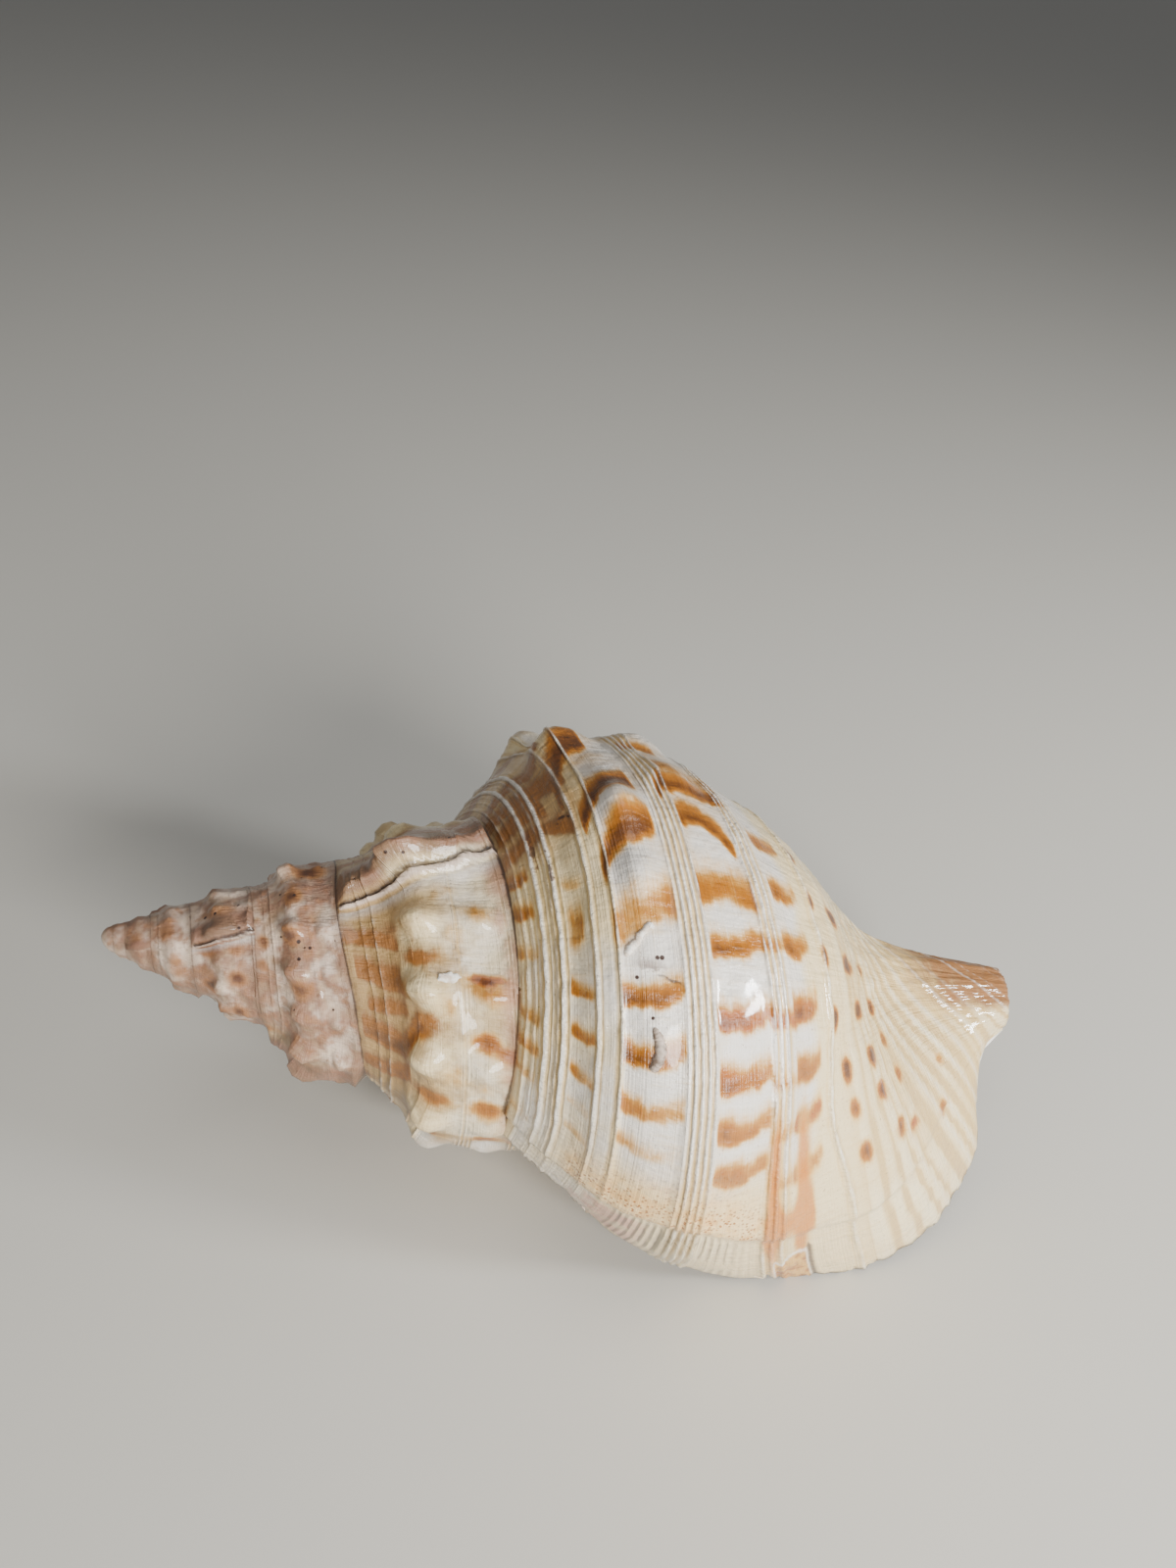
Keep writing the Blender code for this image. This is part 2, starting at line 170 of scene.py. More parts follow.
# Cords: band, height at the lip, half width in the band
CORDS = (
    (0.022, 0.4, 0.008), (0.046, 0.7, 0.009), (0.078, 0.6, 0.008), (0.102, 0.5, 0.008),
    (0.127, 1.2, 0.011), (0.152, 0.5, 0.008), (0.174, 0.7, 0.008), (0.198, 1.3, 0.011),
    (0.222, 0.5, 0.008), (0.285, 0.2, 0.007), (0.307, 0.3, 0.007), (0.333, 0.9, 0.009),
    (0.356, 0.4, 0.008), (0.384, 0.4, 0.008), (0.416, 0.9, 0.009), (0.505, 0.15, 0.010),
    (0.640, 0.6, 0.008), (0.663, 1.0, 0.008), (0.687, 1.0, 0.008), (0.710, 0.9, 0.008),
    (0.733, 0.8, 0.008), (0.941, 0.8, 0.008), (0.963, 1.0, 0.008), (0.988, 0.8, 0.008),
    (1.013, 0.4, 0.008), (1.040, 0.25, 0.008),
)
CORD_BEADS = 0.22
GROOVE_OFF = 1.6  # a groove's distance from its cord and its half width, in the cord's half widths
GROOVE_HALF = 0.6
LIP_WEAR = 0.75  # how much of the first cords is lost at the lip
LIP_WEAR_FADE = (-0.15, 0.12)
LIP_WEAR_BAND_FADE = (0.5, 0.05)
SPIRE_CORDS = 0.5  # how much of its height a cord keeps on the spire
SPIRE_CORDS_FADE = (-1.1, 0.2)
# The last cord leans towards the canal as it nears the lip: turn, band
LEANING_CORD = ((-1, 1.14), (-0.2, 1.14), (-0.13, 1.125), (-0.09, 1.148), (-0.06, 1.16), (0, 1.168))
LEANING_TALL = 0.85
LEANING_HALF = 0.007
FAN_FADE = (1.17, 0.1)
FAN_STEP = 0.064
FAN_HEIGHT = 0.6
FAN_LEAN = 0.9  # how far the fan's cords run towards the canal in one turn
FAN_LEAN_OVER = 0.3
FAN_WORN = 0.7  # how much of the fan is lost on the canal
FAN_WORN_FADE = (1.38, 0.25)
LUMPS = 0.75  # low unevenness all over
LUMPS_GROWTH = 0.55
LUMPS_FADE = (0, 0.05)
# The last rest in growth: band, turn. Past it the surface sits lower and is puckered
REST_LINE = (
    (0, -0.063), (0.3, -0.062), (0.6, -0.065), (0.7, -0.067), (0.9, -0.054), (1.2, -0.040), (2, -0.05),
)
REST_DROP = 1.3
REST_HALF = 0.05
REST_OVER = 0.006
PUCKER_STEP = 0.023
PUCKER_TALL = 0.5
PUCKER_PAST = 0.03
PUCKER_HALF = 0.025
PUCKER_FADES = ((0.50, 0.1), (0.94, 0.1))
# Bites and teeth along the lip's edge: band, half width, turns taken away
LIP_BITES = (
    (0.952, 0.015, 0.013), (1.064, 0.006, 0.013), (1.01, 0.03, -0.004), (0.64, 0.10, 0.007),
    (1.27, 0.012, 0.003), (1.36, 0.014, 0.003), (1.46, 0.03, 0.005), (1.74, 0.05, 0.022),
    (1.86, 0.03, -0.006), (0.30, 0.03, 0.004), (0.45, 0.02, 0.003),
)
EDGE_CHIPS = 0.0020
FLOOR_GAP = 0.1  # the lowest corners are worn flat this far above the floor

# ---- How finely the surface is divided ----

COLUMNS = 300
CROWDING = 0.4  # columns stand closer together on the side that shows most
CROWDED_AT = 0.237
INNER_COLUMNS = 74
LINING_ROWS = (18, 20)  # above the lower suture, and from there to the canal's end
CORD_ROWS = 5  # how much closer rows stand on a cord
FAN_ROWS = 0.5
FAN_ROWS_FADE = (1.08, 0.04)
LEANING_ROWS = 0.4
LEANING_ROWS_AT = (1.14, 0.035)
ROWS_TURN = -0.15  # rows are spaced by the cords as they are here
WHORL_ROWS = (184, 50, 30, 18, 12, 8, 6)
LAST_COLUMN = -round(TURNS * COLUMNS)
OUTSIDE, LINING, COLUMN_FACE = 0, 1, 2  # the sides of the surface


def srgb(red, green, blue):
    """A colour as a paint chart gives it, 0 to 255, for a shader."""
    share = np.array((red, green, blue)) / 255
    linear = np.where(share <= 0.04045, share / 12.92, ((share + 0.055) / 1.055) ** 2.4)
    return (*map(float, linear), 1.0)


def smooth(x):
    x = np.clip(x, 0, 1)
    return x * x * (3 - 2 * x)


def rising(x, start, over):
    """0 up to start, then smoothly up to 1."""
    return smooth((x - start) / over)


def falling(x, end, over):
    """Smoothly down to 0 at end."""
    return smooth((end - x) / over)


def bump(x, width):
    """1 at 0, and a little over a third at width to either side."""
    return np.exp(-((x / width) ** 2))


def pick(values, i):
    return np.take_along_axis(values, i[..., None], -1)[..., 0]


def between(at, value, x):
    """Cubic pieces between the places at; value holds the heights on its last axis."""
    step = np.diff(at)
    slope = np.diff(value, axis=-1) / step
    ahead, behind = slope[..., 1:], slope[..., :-1]
    same = ahead * behind > 0
    tangent = np.zeros_like(value)
    tangent[..., 1:-1] = np.where(same, 2 * ahead * behind / np.where(same, ahead + behind, 1), 0)
    tangent[..., 0] = slope[..., 0]
    tangent[..., -1] = slope[..., -1]
    x = np.clip(x, at[0], at[-1])
    i = np.clip(np.searchsorted(at, x, side="right") - 1, 0, len(step) - 1)
    f = (x - at[i]) / step[i]
    if value.ndim == 1:
        low, high, low_tangent, high_tangent = value[i], value[i + 1], tangent[i], tangent[i + 1]
    else:
        low, high = pick(value, i), pick(value, i + 1)
        low_tangent, high_tangent = pick(tangent, i), pick(tangent, i + 1)
    return (
        (1 + 2 * f) * (1 - f) ** 2 * low
        + f * (1 - f) ** 2 * step[i] * low_tangent
        + f * f * (3 - 2 * f) * high
        + f * f * (f - 1) * step[i] * high_tangent
    )


def through(points, x):
    """A smooth curve through the points, level where they turn back."""
    at = np.array([p[0] for p in points], float)
    return between(at, np.array([p[1] for p in points], float), x)


def reach(t):
    return REACH * np.exp(GROWTH * t) - SUTURE_DIP * bump(t - DIP_AT, DIP_OVER)


def size(t):
    return np.exp(GROWTH * np.minimum(t, 0))


def section(t, v):
    """Distance along the axis and radius of the plain form, without the lip's flare."""
    t, v = np.broadcast_arrays(np.asarray(t, float), np.asarray(v, float))
    climb = SUTURE_CLIMB * np.clip((t + CLIMB_OVER) / CLIMB_OVER, 0, 2) ** 2
    top, top_radius = reach(t) * (1 - climb), SUTURE_SLOPE * reach(t)
    low, low_radius = reach(t + 1), SUTURE_SLOPE * reach(t + 1)
    across, out = low - top, low_radius - top_radius
    body = rising(t, *BODY_FADE)
    on_whorl = np.clip(v, 0, 1)
    bulge = through(SPIRE_BULGE, on_whorl) * (1 - body) + through(BODY_BULGE, on_whorl) * body
    x = top + on_whorl * across - bulge * out
    r = top_radius + on_whorl * out + bulge * across
    w = np.clip(v - 1, 0, 1)
    base_x = low + (CANAL_END - low) * through(BASE_RUN, w)
    grown = reach(t) / reach(BASE_SIZED_AT)
    rows = [low_radius] + [radius * grown ** (1 - at) for at, radius in BASE_RADIUS]
    places = np.array([0] + [at for at, _ in BASE_RADIUS], float)
    base_r = between(places, np.stack(rows, -1), w)
    return np.where(v > 1, base_x, x), np.where(v > 1, base_r, r)


def outward(t, v):
    """Unit direction off the surface, in the plane through the axis."""
    step = 0.002
    x0, r0 = section(t, np.clip(v - step, 0, 2))
    x1, r1 = section(t, np.clip(v + step, 0, 2))
    length = np.hypot(x1 - x0, r1 - r0) + 1e-9
    return -(r1 - r0) / length, (x1 - x0) / length


def in_space(t, x, r):
    angle = np.radians(LIP_ANGLE + 360 * t)
    shift = rising(x, CANAL_FROM, CANAL_END - CANAL_FROM)
    y = r * np.cos(angle) + CANAL_SHIFT[0] * shift
    z = r * np.sin(angle) + CANAL_SHIFT[1] * shift
    return np.stack([x, y, z], -1)


def varix_past(t, v, n):
    """How far past varix n a place lies, in turns."""
    return t - VARIX_FIRST + n * VARIX_EVERY + VARIX_SLANT * (np.minimum(v, 1) - 0.5)


def varices(t, v):
    """1 on the crest of each rib, steep on the side towards the lip."""
    total = np.zeros(np.broadcast(t, v).shape)
    for n in range(VARIX_COUNT):
        past = varix_past(t, v, n)
        total = total + bump(past, np.where(past < 0, VARIX_BACK, VARIX_FRONT))
    return total


def all_cords(t, v):
    """Each cord's line, height and half width, its height worn as it is at this place."""
    kept = SPIRE_CORDS + (1 - SPIRE_CORDS) * rising(t, *SPIRE_CORDS_FADE)
    kept = kept * (1 - LIP_WEAR * rising(t, *LIP_WEAR_FADE) * falling(v, *LIP_WEAR_BAND_FADE))
    leaning = through(LEANING_CORD, np.clip(t, -1, 0))
    for line, tall, half in CORDS + ((leaning, LEANING_TALL, LEANING_HALF),):
        yield line, tall * kept, half


def cords(t, v):
    """Height of the cords, with beads along them."""
    total = np.zeros(np.broadcast(t, v).shape)
    for line, tall, half in all_cords(t, v):
        beads = np.sin(math.tau * 43 * t + 60 * line) * np.sin(math.tau * 17 * t + 35 * line)
        total = total + tall * (1 + CORD_BEADS * beads) * bump(v - line, half)
    return total


def grooves(t, v):
    """How deep in a groove on either side of a cord a place lies."""
    total = np.zeros(np.broadcast(t, v).shape)
    for line, tall, half in all_cords(t, v):
        for side in (-1, 1):
            total = total + tall * bump(v - line - side * GROOVE_OFF * half, GROOVE_HALF * half)
    return total


def fan(t, v):
    """Height from 0 to 1 of the uneven cords that spread over the base and the canal."""
    start = FAN_FADE[0]
    lean = FAN_LEAN * rising(v, start, FAN_LEAN_OVER) * np.maximum(t, -1)
    phase = math.tau * (v - lean - start) / FAN_STEP
    phase = phase + 0.9 * np.sin(phase / 3.7) + 0.6 * np.sin(phase / 2.3 + 1)
    fine = (0.75 + 0.4 * np.sin(phase / 2.9)) * np.cos(phase) + 0.2 * np.cos(2.1 * phase + 1.1)
    return np.maximum(fine, -0.2) * rising(v, *FAN_FADE)


def wobble(t, v):
    """A smooth irregular height from -1 to 1, a few millimetres to a few centimetres across."""
    t, v = np.broadcast_arrays(t, v)
    out = np.empty(t.size)
    grown = np.exp(0.3 * np.minimum(t, 0)).ravel()
    for i, (a, b, g) in enumerate(zip(math.tau * t.ravel(), v.ravel(), grown)):
        place = Vector((2.6 * g * math.cos(a), 2.6 * g * math.sin(a), 5 * b + 3 * a))
        out[i] = noise.noise(place) + 0.4 * noise.noise(place * 3.1)
    return out.reshape(t.shape)


def knob_number(t):
    return (t - VARIX_FIRST) * KNOBS_TO_A_VARIX / VARIX_EVERY


def wander(number, seed):
    """An irregular value from -1 to 1 for each whole number."""
    return np.sin(number * 12.9898 + seed * 78.233) * np.cos(number * 4.1414 + seed * 3.7)


def ribs_height(t, v):
    """The ribs, with a crack and a thin ridge at the foot of the younger ones."""
    ends = rising(v, *SUTURE_FADE) * falling(v, *CANAL_FADE)
    height = VARIX_HEIGHT * (reach(t + 1) - reach(t)) * varices(t, v)
    for n in RIBS_WITH_CRACKS:
        past = varix_past(t, v, n)
        height = height - CRACK_DEEP * size(t) * bump(past - CRACK_PAST, CRACK_HALF)
        height = height + THIN_RIDGE_TALL * size(t) * bump(past - THIN_RIDGE_PAST, THIN_RIDGE_HALF)
    return height * ends


def knobs_height(t, v):
    """Two rows of uneven knobs, and the single ones near the lip."""
    number = knob_number(t)
    round_knob = (0.5 + 0.5 * np.cos(math.tau * number)) ** KNOB_SHARPNESS
    number = np.round(number)
    start, over = KNOBS_START
    kept = np.clip((t - start) / over, 0, 1) ** KNOBS_START_CURVE * (1 - rising(t, *KNOBS_END_FADE))
    kept = kept * (number != LOST_KNOB) * np.where(number == WORN_KNOB, 0.5, 1)
    knobs = kept * size(t) ** KNOB_GROWTH * round_knob
    height = np.zeros(np.broadcast(t, v).shape)
    for seed, (line, tall) in enumerate(((KNOB_LINE, KNOB_HEIGHT), (LOW_KNOB_LINE, LOW_KNOB_HEIGHT))):
        uneven = 1 + KNOB_UNEVEN * wander(number, seed)
        off_line = v - line - KNOB_OFF_LINE * wander(number, seed + 5)
        height = height + tall * uneven * knobs * bump(off_line, KNOB_ACROSS)
    for knob_t, knob_v, tall, long, wide in BODY_KNOBS:
        height = height + tall * bump(t - knob_t, long) * bump(v - knob_v, wide)
    return height


def rest_height(t, v):
    """The step down at the last rest in growth, and the puckers in front of it."""
    past = t - through(REST_LINE, v)
    bands = rising(v, *PUCKER_FADES[0]) * falling(v, *PUCKER_FADES[1])
    pucker = np.maximum(np.cos(math.tau * v / PUCKER_STEP), -0.3) * bump(past - PUCKER_PAST, PUCKER_HALF)
    drop = REST_DROP * bump(past, REST_HALF)
    return smooth(past / REST_OVER + 0.5) * (PUCKER_TALL * pucker * bands - drop)


def relief(t, v):
    """Height of everything that stands off the plain form, in millimetres."""
    fan_tall = FAN_HEIGHT * (1 - FAN_WORN * rising(v, *FAN_WORN_FADE))
    fine = size(t) * (cords(t, v) + fan_tall * fan(t, v))
    lumps = LUMPS * size(t) ** LUMPS_GROWTH * wobble(t, v) * rising(v, *LUMPS_FADE)
    return ribs_height(t, v) + knobs_height(t, v) + fine + lumps + rest_height(t, v)


def wall_section(t, v, inward=0.0):
    """Section of the outer face with its flare and relief, or, set inward, of the lining."""
    x, r = section(t, v)
    along, out = outward(t, v)
    end = through(LIP_LINE, v)
    end_x, end_r = section(end, v)
    width = through(FLARE_OVER, v)
    flare = np.clip((t - end + width) / width, 0, 1) ** 2
    raised = relief(t, v) * np.where(inward == 0, 1, LINING_RELIEF) - inward
    x = x + (through(LIP_ALONG, v) - end_x) * flare + along * raised
    return x, r + (through(LIP_RADIUS, v) - end_r) * flare + out * raised


def lip_turn(t, v):
    """Moves the last columns so that the strip ends on the lip's own worn line."""
    worn = through(LIP_LINE, v)
    for line, half, taken in LIP_BITES:
        worn = worn - taken * bump(v - line, half)
    chips = np.sin(157 * v) * np.sin(61 * v + 1) + 0.6 * np.sin(331 * v + 2)
    near = rising(t, -LIP_LINE_OVER, LIP_LINE_OVER)
    return t + through(LIP_LINE, v) * near + (worn - through(LIP_LINE, v) + EDGE_CHIPS * chips) * near ** 4


def before_lip(t, v):
    """The turn that lip_turn moved to t, near enough."""
    moved = t
    for _ in range(4):
        moved = t - through(LIP_LINE, v) * rising(moved, -LIP_LINE_OVER, LIP_LINE_OVER)
    return moved


def hollow_depth(v):
    return DEPTH + (CANAL_DEPTH - DEPTH) * rising(v, *HOLLOW_CANAL_FADE)


def corner(s, t):
    """Where the lining meets the whorl before."""
    return section(t - 1, 1 + CORNER_BELOW * smooth(s / CORNER_OVER))


def inner_wall(s, v):
    """The lining, from the lip (s 0) to the back of the hollow (s 1)."""
    t = lip_turn(-hollow_depth(v) * s, v)
    canal = rising(v, *CANAL_WALL_FADE)
    thick = WALL * smooth(hollow_depth(v) * s / EDGE_OVER + EDGE_WALL) * (1 - (1 - CANAL_WALL) * canal)
    x, r = wall_section(t, v, thick)
    corner_x, corner_r = corner(s, t)
    near = smooth(v / LINING_OVER)
    return t, corner_x + (x - corner_x) * near, corner_r + (r - corner_r) * near


def column(s, v):
    """The whorl before and the column, facing the lining."""
    t = lip_turn(-hollow_depth(v) * s, v)
    start = 1 + CORNER_BELOW * smooth(s / CORNER_OVER)
    x, r = section(t - 1, start + (v - 1) * (2 - start))
    wall_r = inner_wall(s, v)[2]
    canal = rising(v, *COLUMN_CANAL_FADE)
    slim = COLUMN_RADIUS + (r - COLUMN_RADIUS) * (1 - smooth(s / COLUMN_OVER) * canal)
    closing = canal * rising(s, COLUMN_CLOSES, 1 - COLUMN_CLOSES)
    slim = slim + (wall_r - THROAT_GAP - slim) * closing
    return t, x, np.minimum(slim, wall_r - THROAT_GAP * smooth(s / THROAT_GAP_OVER))


def lay_down(points):
    """Turns points from the shell's own axis to where they lie, in metres."""
    pitch, roll = np.radians((PITCH, ROLL))
    tilt = np.array(
        [[math.cos(pitch), 0, math.sin(pitch)], [0, 1, 0], [-math.sin(pitch), 0, math.cos(pitch)]]
    )
    rock = np.array([[1, 0, 0], [0, math.cos(roll), -math.sin(roll)], [0, math.sin(roll), math.cos(roll)]])
    return (points @ (rock @ tilt).T + AXIS_START) * MM + np.array(low_corner)


# ---- The skin: one closed surface with the place (t, v) of every corner ----

class Skin:
    """Corners and faces as they are added; each corner of a face keeps its own turn, band and side."""

    def __init__(self):
        self.points = []
        self.count = 0
        self.faces = []
        self.places = []

    def add(self, points):
        points = np.atleast_2d(points)
        self.points.append(points)
        ids = list(range(self.count, self.count + len(points)))
        self.count += len(points)
        return ids

    def face(self, corners):
        seen = {c[0]: c for c in corners}
        if len(seen) > 2:
            self.faces.append([c[0] for c in seen.values()])
            self.places.extend(c[1:] for c in seen.values())

    def strip(self, left, right):
        """Faces between two columns with the same bands."""
        for i in range(len(left) - 1):
            self.face([left[i], right[i], right[i + 1], left[i + 1]])

    def zipper(self, left, left_at, right, right_at):
        """Faces between two columns whose corners lie at different bands."""
        i = j = 0
        while i < len(left) - 1 or j < len(right) - 1:
            done = j == len(right) - 1
            if done or (i < len(left) - 1 and left_at[i + 1] <= right_at[j + 1]):
                self.face([left[i], right[j], left[i + 1]])
                i += 1
            else:
                self.face([left[i], right[j], right[j + 1]])
                j += 1


def crowded(count, end):
    """Bands from 0 to end, closer together on the cords and with one on each suture."""
    fine = np.linspace(0, end, 4001)
    leaning, half = LEANING_ROWS_AT
    on_cord = np.minimum(cords(ROWS_TURN, fine), 1) + LEANING_ROWS * bump(fine - leaning, half)
    density = 1 + CORD_ROWS * on_cord + FAN_ROWS * rising(fine, *FAN_ROWS_FADE)
    total = np.concatenate([[0], np.cumsum((density[1:] + density[:-1]) / 2)])
    rows = np.interp(np.linspace(0, total[-1], count), total, fine)
    rows[np.abs(rows - 1).argmin()] = 1
    return rows


def turn_of(i):
    """Turn of a column; every whorl has its columns at the same angles."""
    whole = math.floor(i / COLUMNS)
    part = i / COLUMNS - whole
    swing = math.sin(math.tau * (part - CROWDED_AT)) + math.sin(math.tau * CROWDED_AT)
    return whole + part + CROWDING / math.tau * swing


def corners_of(ids, t, rows, side):
    """Corners with their places: turn, band and side."""
    t = np.broadcast_to(t, np.shape(rows))
    return [(i, float(a), float(b), side) for i, a, b in zip(ids, t, rows)]


def round_tip(skin, rim):
    """Closes the apex with a blunt dome."""
    points = np.concatenate(skin.points)[[c[0] for c in rim]]
    middle = points.mean(0)
    for share in TIP_RINGS:
        ring = middle + (points - middle) * share - [TIP_DOME * (1 - share ** 2), 0, 0]
        inner = [(i,) + c[1:] for i, c in zip(skin.add(ring), rim)]
        for k in range(len(rim)):
            after = (k + 1) % len(rim)
            skin.face([rim[k], inner[k], inner[after], rim[after]])
        rim = inner
    centre = (skin.add(middle - [TIP_DOME, 0, 0])[0],) + rim[0][1:]
    for k, here in enumerate(rim):
        skin.face([rim[(k + 1) % len(rim)], here, centre])


def outside_columns(skin):
    """The outer face: each column's bands and corners, by its number from the lip back."""
    rows = [crowded(WHORL_ROWS[0], 2)] + [crowded(count, 1) for count in WHORL_ROWS[1:]]
    columns = {}
    for i in range(0, LAST_COLUMN - 1, -1):
        t = turn_of(i)
        if i >= -COLUMNS:
            band = rows[0]
            turned = lip_turn(t, band)
            ids = skin.add(in_space(turned, *wall_section(turned, band)))
            columns[i] = (band, corners_of(ids, turned, band, OUTSIDE))
        else:
            band = rows[min(max(math.ceil(-i / COLUMNS) - 1, 1), len(rows) - 1)]
            ids = skin.add(in_space(t, *wall_section(t, band[:-1])))
            corners = corners_of(ids, t, band[:-1], OUTSIDE)
            corners.append((columns[i + COLUMNS][1][0][0], t, 1.0, OUTSIDE))
            columns[i] = (band, corners)
    return columns


def close_outside(skin, columns, suture):
    """Faces between the columns, and the dome over the apex."""
    for i in range(0, LAST_COLUMN, -1):
        right_rows, right = columns[i]
        left_rows, left = columns[i - 1]
        if i == -COLUMNS:
            right_rows, right = right_rows[: suture + 1], right[: suture + 1]
        if len(left) == len(right):
            skin.strip(left, right)
        else:
            skin.zipper(left, left_rows, right, right_rows)
    end_ring = [columns[i][1][0] for i in range(LAST_COLUMN, LAST_COLUMN + COLUMNS)]
    rim = list({c[0]: c for c in columns[LAST_COLUMN][1][::-1] + end_ring[1:]}.values())
    round_tip(skin, rim)


def close_inside(skin, columns, suture):
    """The lining and the column, from the lip and the last whorl's inner end to the hollow's back."""
    lip_rows, lip = columns[0]
    above, below = LINING_ROWS
    inner_rows = np.unique(np.concatenate([np.linspace(0, 1, above), np.linspace(1, 2, below)]))
    base = inner_rows[int(np.where(inner_rows == 1)[0][0]):]
    inner = [lip]
    pillar = [columns[-COLUMNS][1][suture:]]
    for k in range(1, INNER_COLUMNS + 1):
        s = (k / INNER_COLUMNS) ** NEAR_THE_LIP
        t, x, r = inner_wall(s, inner_rows)
        inner.append(corners_of(skin.add(in_space(t, x, r)), t, inner_rows, LINING))
        t, x, r = column(s, base)
        made = corners_of(skin.add(in_space(t, x, r)), t, base, COLUMN_FACE)
        pillar.append([(inner[-1][0][0],) + made[0][1:]] + made[1:])
    skin.zipper(inner[0], lip_rows, inner[1], inner_rows)
    skin.zipper(pillar[1], base, pillar[0], lip_rows[suture:])
    for k in range(1, INNER_COLUMNS):
        skin.strip(inner[k], inner[k + 1])
        skin.strip(pillar[k + 1], pillar[k])
    skin.zipper(inner[-1], np.maximum(inner_rows, 1), pillar[-1], base)
    outer_ring = [columns[i][1][-1] for i in range(0, -COLUMNS - 1, -1)]
    inner_ring = [ring[-1] for ring in inner + pillar[::-1]]
    evenly = [np.linspace(0, 1, len(ring)) for ring in (outer_ring, inner_ring)]
    skin.zipper(outer_ring, evenly[0], inner_ring, evenly[1])


def build_skin():
    skin = Skin()
    columns = outside_columns(skin)
    suture = int(np.where(columns[0][0] == 1)[0][0])
    shared = columns[-COLUMNS][1][suture]
    columns[-COLUMNS][1][suture] = (columns[0][1][0][0],) + shared[1:]
    close_outside(skin, columns, suture)
    close_inside(skin, columns, suture)
    return skin


# ---- Markings: rows of brown bars on each band between the cords ----

# Band from and to, change of turn across it, half thickness, and its bars: turn, strength, redness
BAR_ROWS = (
    (0.00, 0.105, 0.0, 0.0058, (
        (-0.281, 0.95, 0.2), (-0.251, 0.85, 0.2), (-0.216, 0.5, 0.2), (-0.160, 0.55, 0.0),
        (-0.132, 0.6, 0.0), (-0.103, 0.45, 0.0), (-0.055, 0.35, 0.1),
    )),
    (0.225, 0.325, 0.0, 0.0042, (
        (-0.305, 0.6, 0.2), (-0.262, 0.4, 0.2), (-0.192, 0.85, 0.0), (-0.163, 0.80, 0.0),
        (-0.134, 0.6, 0.0), (-0.110, 0.35, 0.0), (-0.085, 0.4, 0.0),
    )),
    (0.415, 0.635, -0.012, 0.0048, (
        (-0.193, 1.05, 0.1), (-0.163, 1.0, 0.0), (-0.134, 0.75, 0.0), (-0.111, 0.45, 0.0),
    )),
    (0.745, 0.935, -0.009, 0.0050, (
        (-0.223, 1.0, 0.3), (-0.188, 1.0, 0.9), (-0.160, 0.95, 0.7), (-0.136, 0.9, 0.45),
        (-0.113, 0.85, 0.5),
    )),
    (0.93, 1.03, -0.003, 0.0050, (
        (-0.229, 0.75, 0.1), (-0.190, 0.85, 0.8), (-0.160, 0.6, 0.5), (-0.133, 0.55, 0.6),
        (-0.104, 0.6, 0.6),
    )),
    (1.015, 1.100, -0.008, 0.0058, (
        (-0.300, 0.9, 0.2), (-0.262, 0.85, 0.2), (-0.228, 0.9, 0.2), (-0.193, 1.0, 0.7),
        (-0.161, 0.95, 0.4), (-0.133, 0.85, 0.85), (-0.104, 0.8, 0.7),
    )),
)
# Marks that don't keep to a row: strength, redness, half thickness, and their line as (band, turn)
SMEARS = (
    (1.2, 0.1, 0.0075, ((0.39, -0.262), (0.43, -0.275), (0.49, -0.284), (0.62, -0.292))),
    (1.35, 0.0, 0.0078, ((0.36, -0.297), (0.42, -0.312), (0.48, -0.319), (0.60, -0.326))),
    (1.35, 0.1, 0.0095, ((0.30, -0.318), (0.33, -0.345), (0.37, -0.362), (0.42, -0.373), (0.52, -0.381))),
    (0.65, 0.1, 0.0100, ((0.40, -0.228), (0.50, -0.236), (0.64, -0.246))),
    (0.8, 0.3, 0.0090, ((0.73, -0.253), (0.84, -0.257), (0.95, -0.252))),
    (1.1, 0.1, 0.0066, ((0.74, -0.300), (0.79, -0.304), (0.86, -0.299), (0.93, -0.284))),
    (1.2, 0.4, 0.0060, ((0.69, -0.318), (0.73, -0.328), (0.85, -0.327), (0.98, -0.331))),
    (0.6, 0.1, 0.0100, ((0.74, -0.345), (0.85, -0.343), (1.00, -0.350))),
    (0.9, 0.3, 0.0070, ((0.02, -0.388), (0.15, -0.389), (0.27, -0.380), (0.36, -0.392))),
    (0.8, 0.4, 0.0050, ((0.66, -0.378), (0.74, -0.381), (0.82, -0.376))),
    (0.65, 0.0, 0.0110, ((0.225, -0.226), (0.26, -0.229), (0.295, -0.231))),
    (0.8, 0.1, 0.0120, ((0.02, -0.335), (0.12, -0.338), (0.24, -0.330))),
    (0.9, 0.1, 0.0100, ((0.00, -0.365), (0.10, -0.362), (0.22, -0.352), (0.36, -0.345))),
    (0.7, 0.1, 0.0080, ((0.00, -0.305), (0.10, -0.308), (0.20, -0.312), (0.33, -0.300))),
    (1.0, 0.2, 0.0120, ((0.05, -1.187), (0.13, -1.182), (0.25, -1.177), (0.33, -1.179))),
    (1.2, 0.1, 0.0115, ((0.03, -1.104), (0.10, -1.1016), (0.21, -1.099), (0.30, -1.103), (0.42, -1.138))),
    (1.0, 0.1, 0.0100, ((0.02, -1.051), (0.12, -1.050), (0.22, -1.058), (0.35, -1.079))),
    (0.85, 0.1, 0.0095, ((0.00, -1.232), (0.18, -1.229), (0.33, -1.222))),
    (0.7, 0.1, 0.0090, ((0.08, -1.140), (0.20, -1.144), (0.34, -1.150))),
)
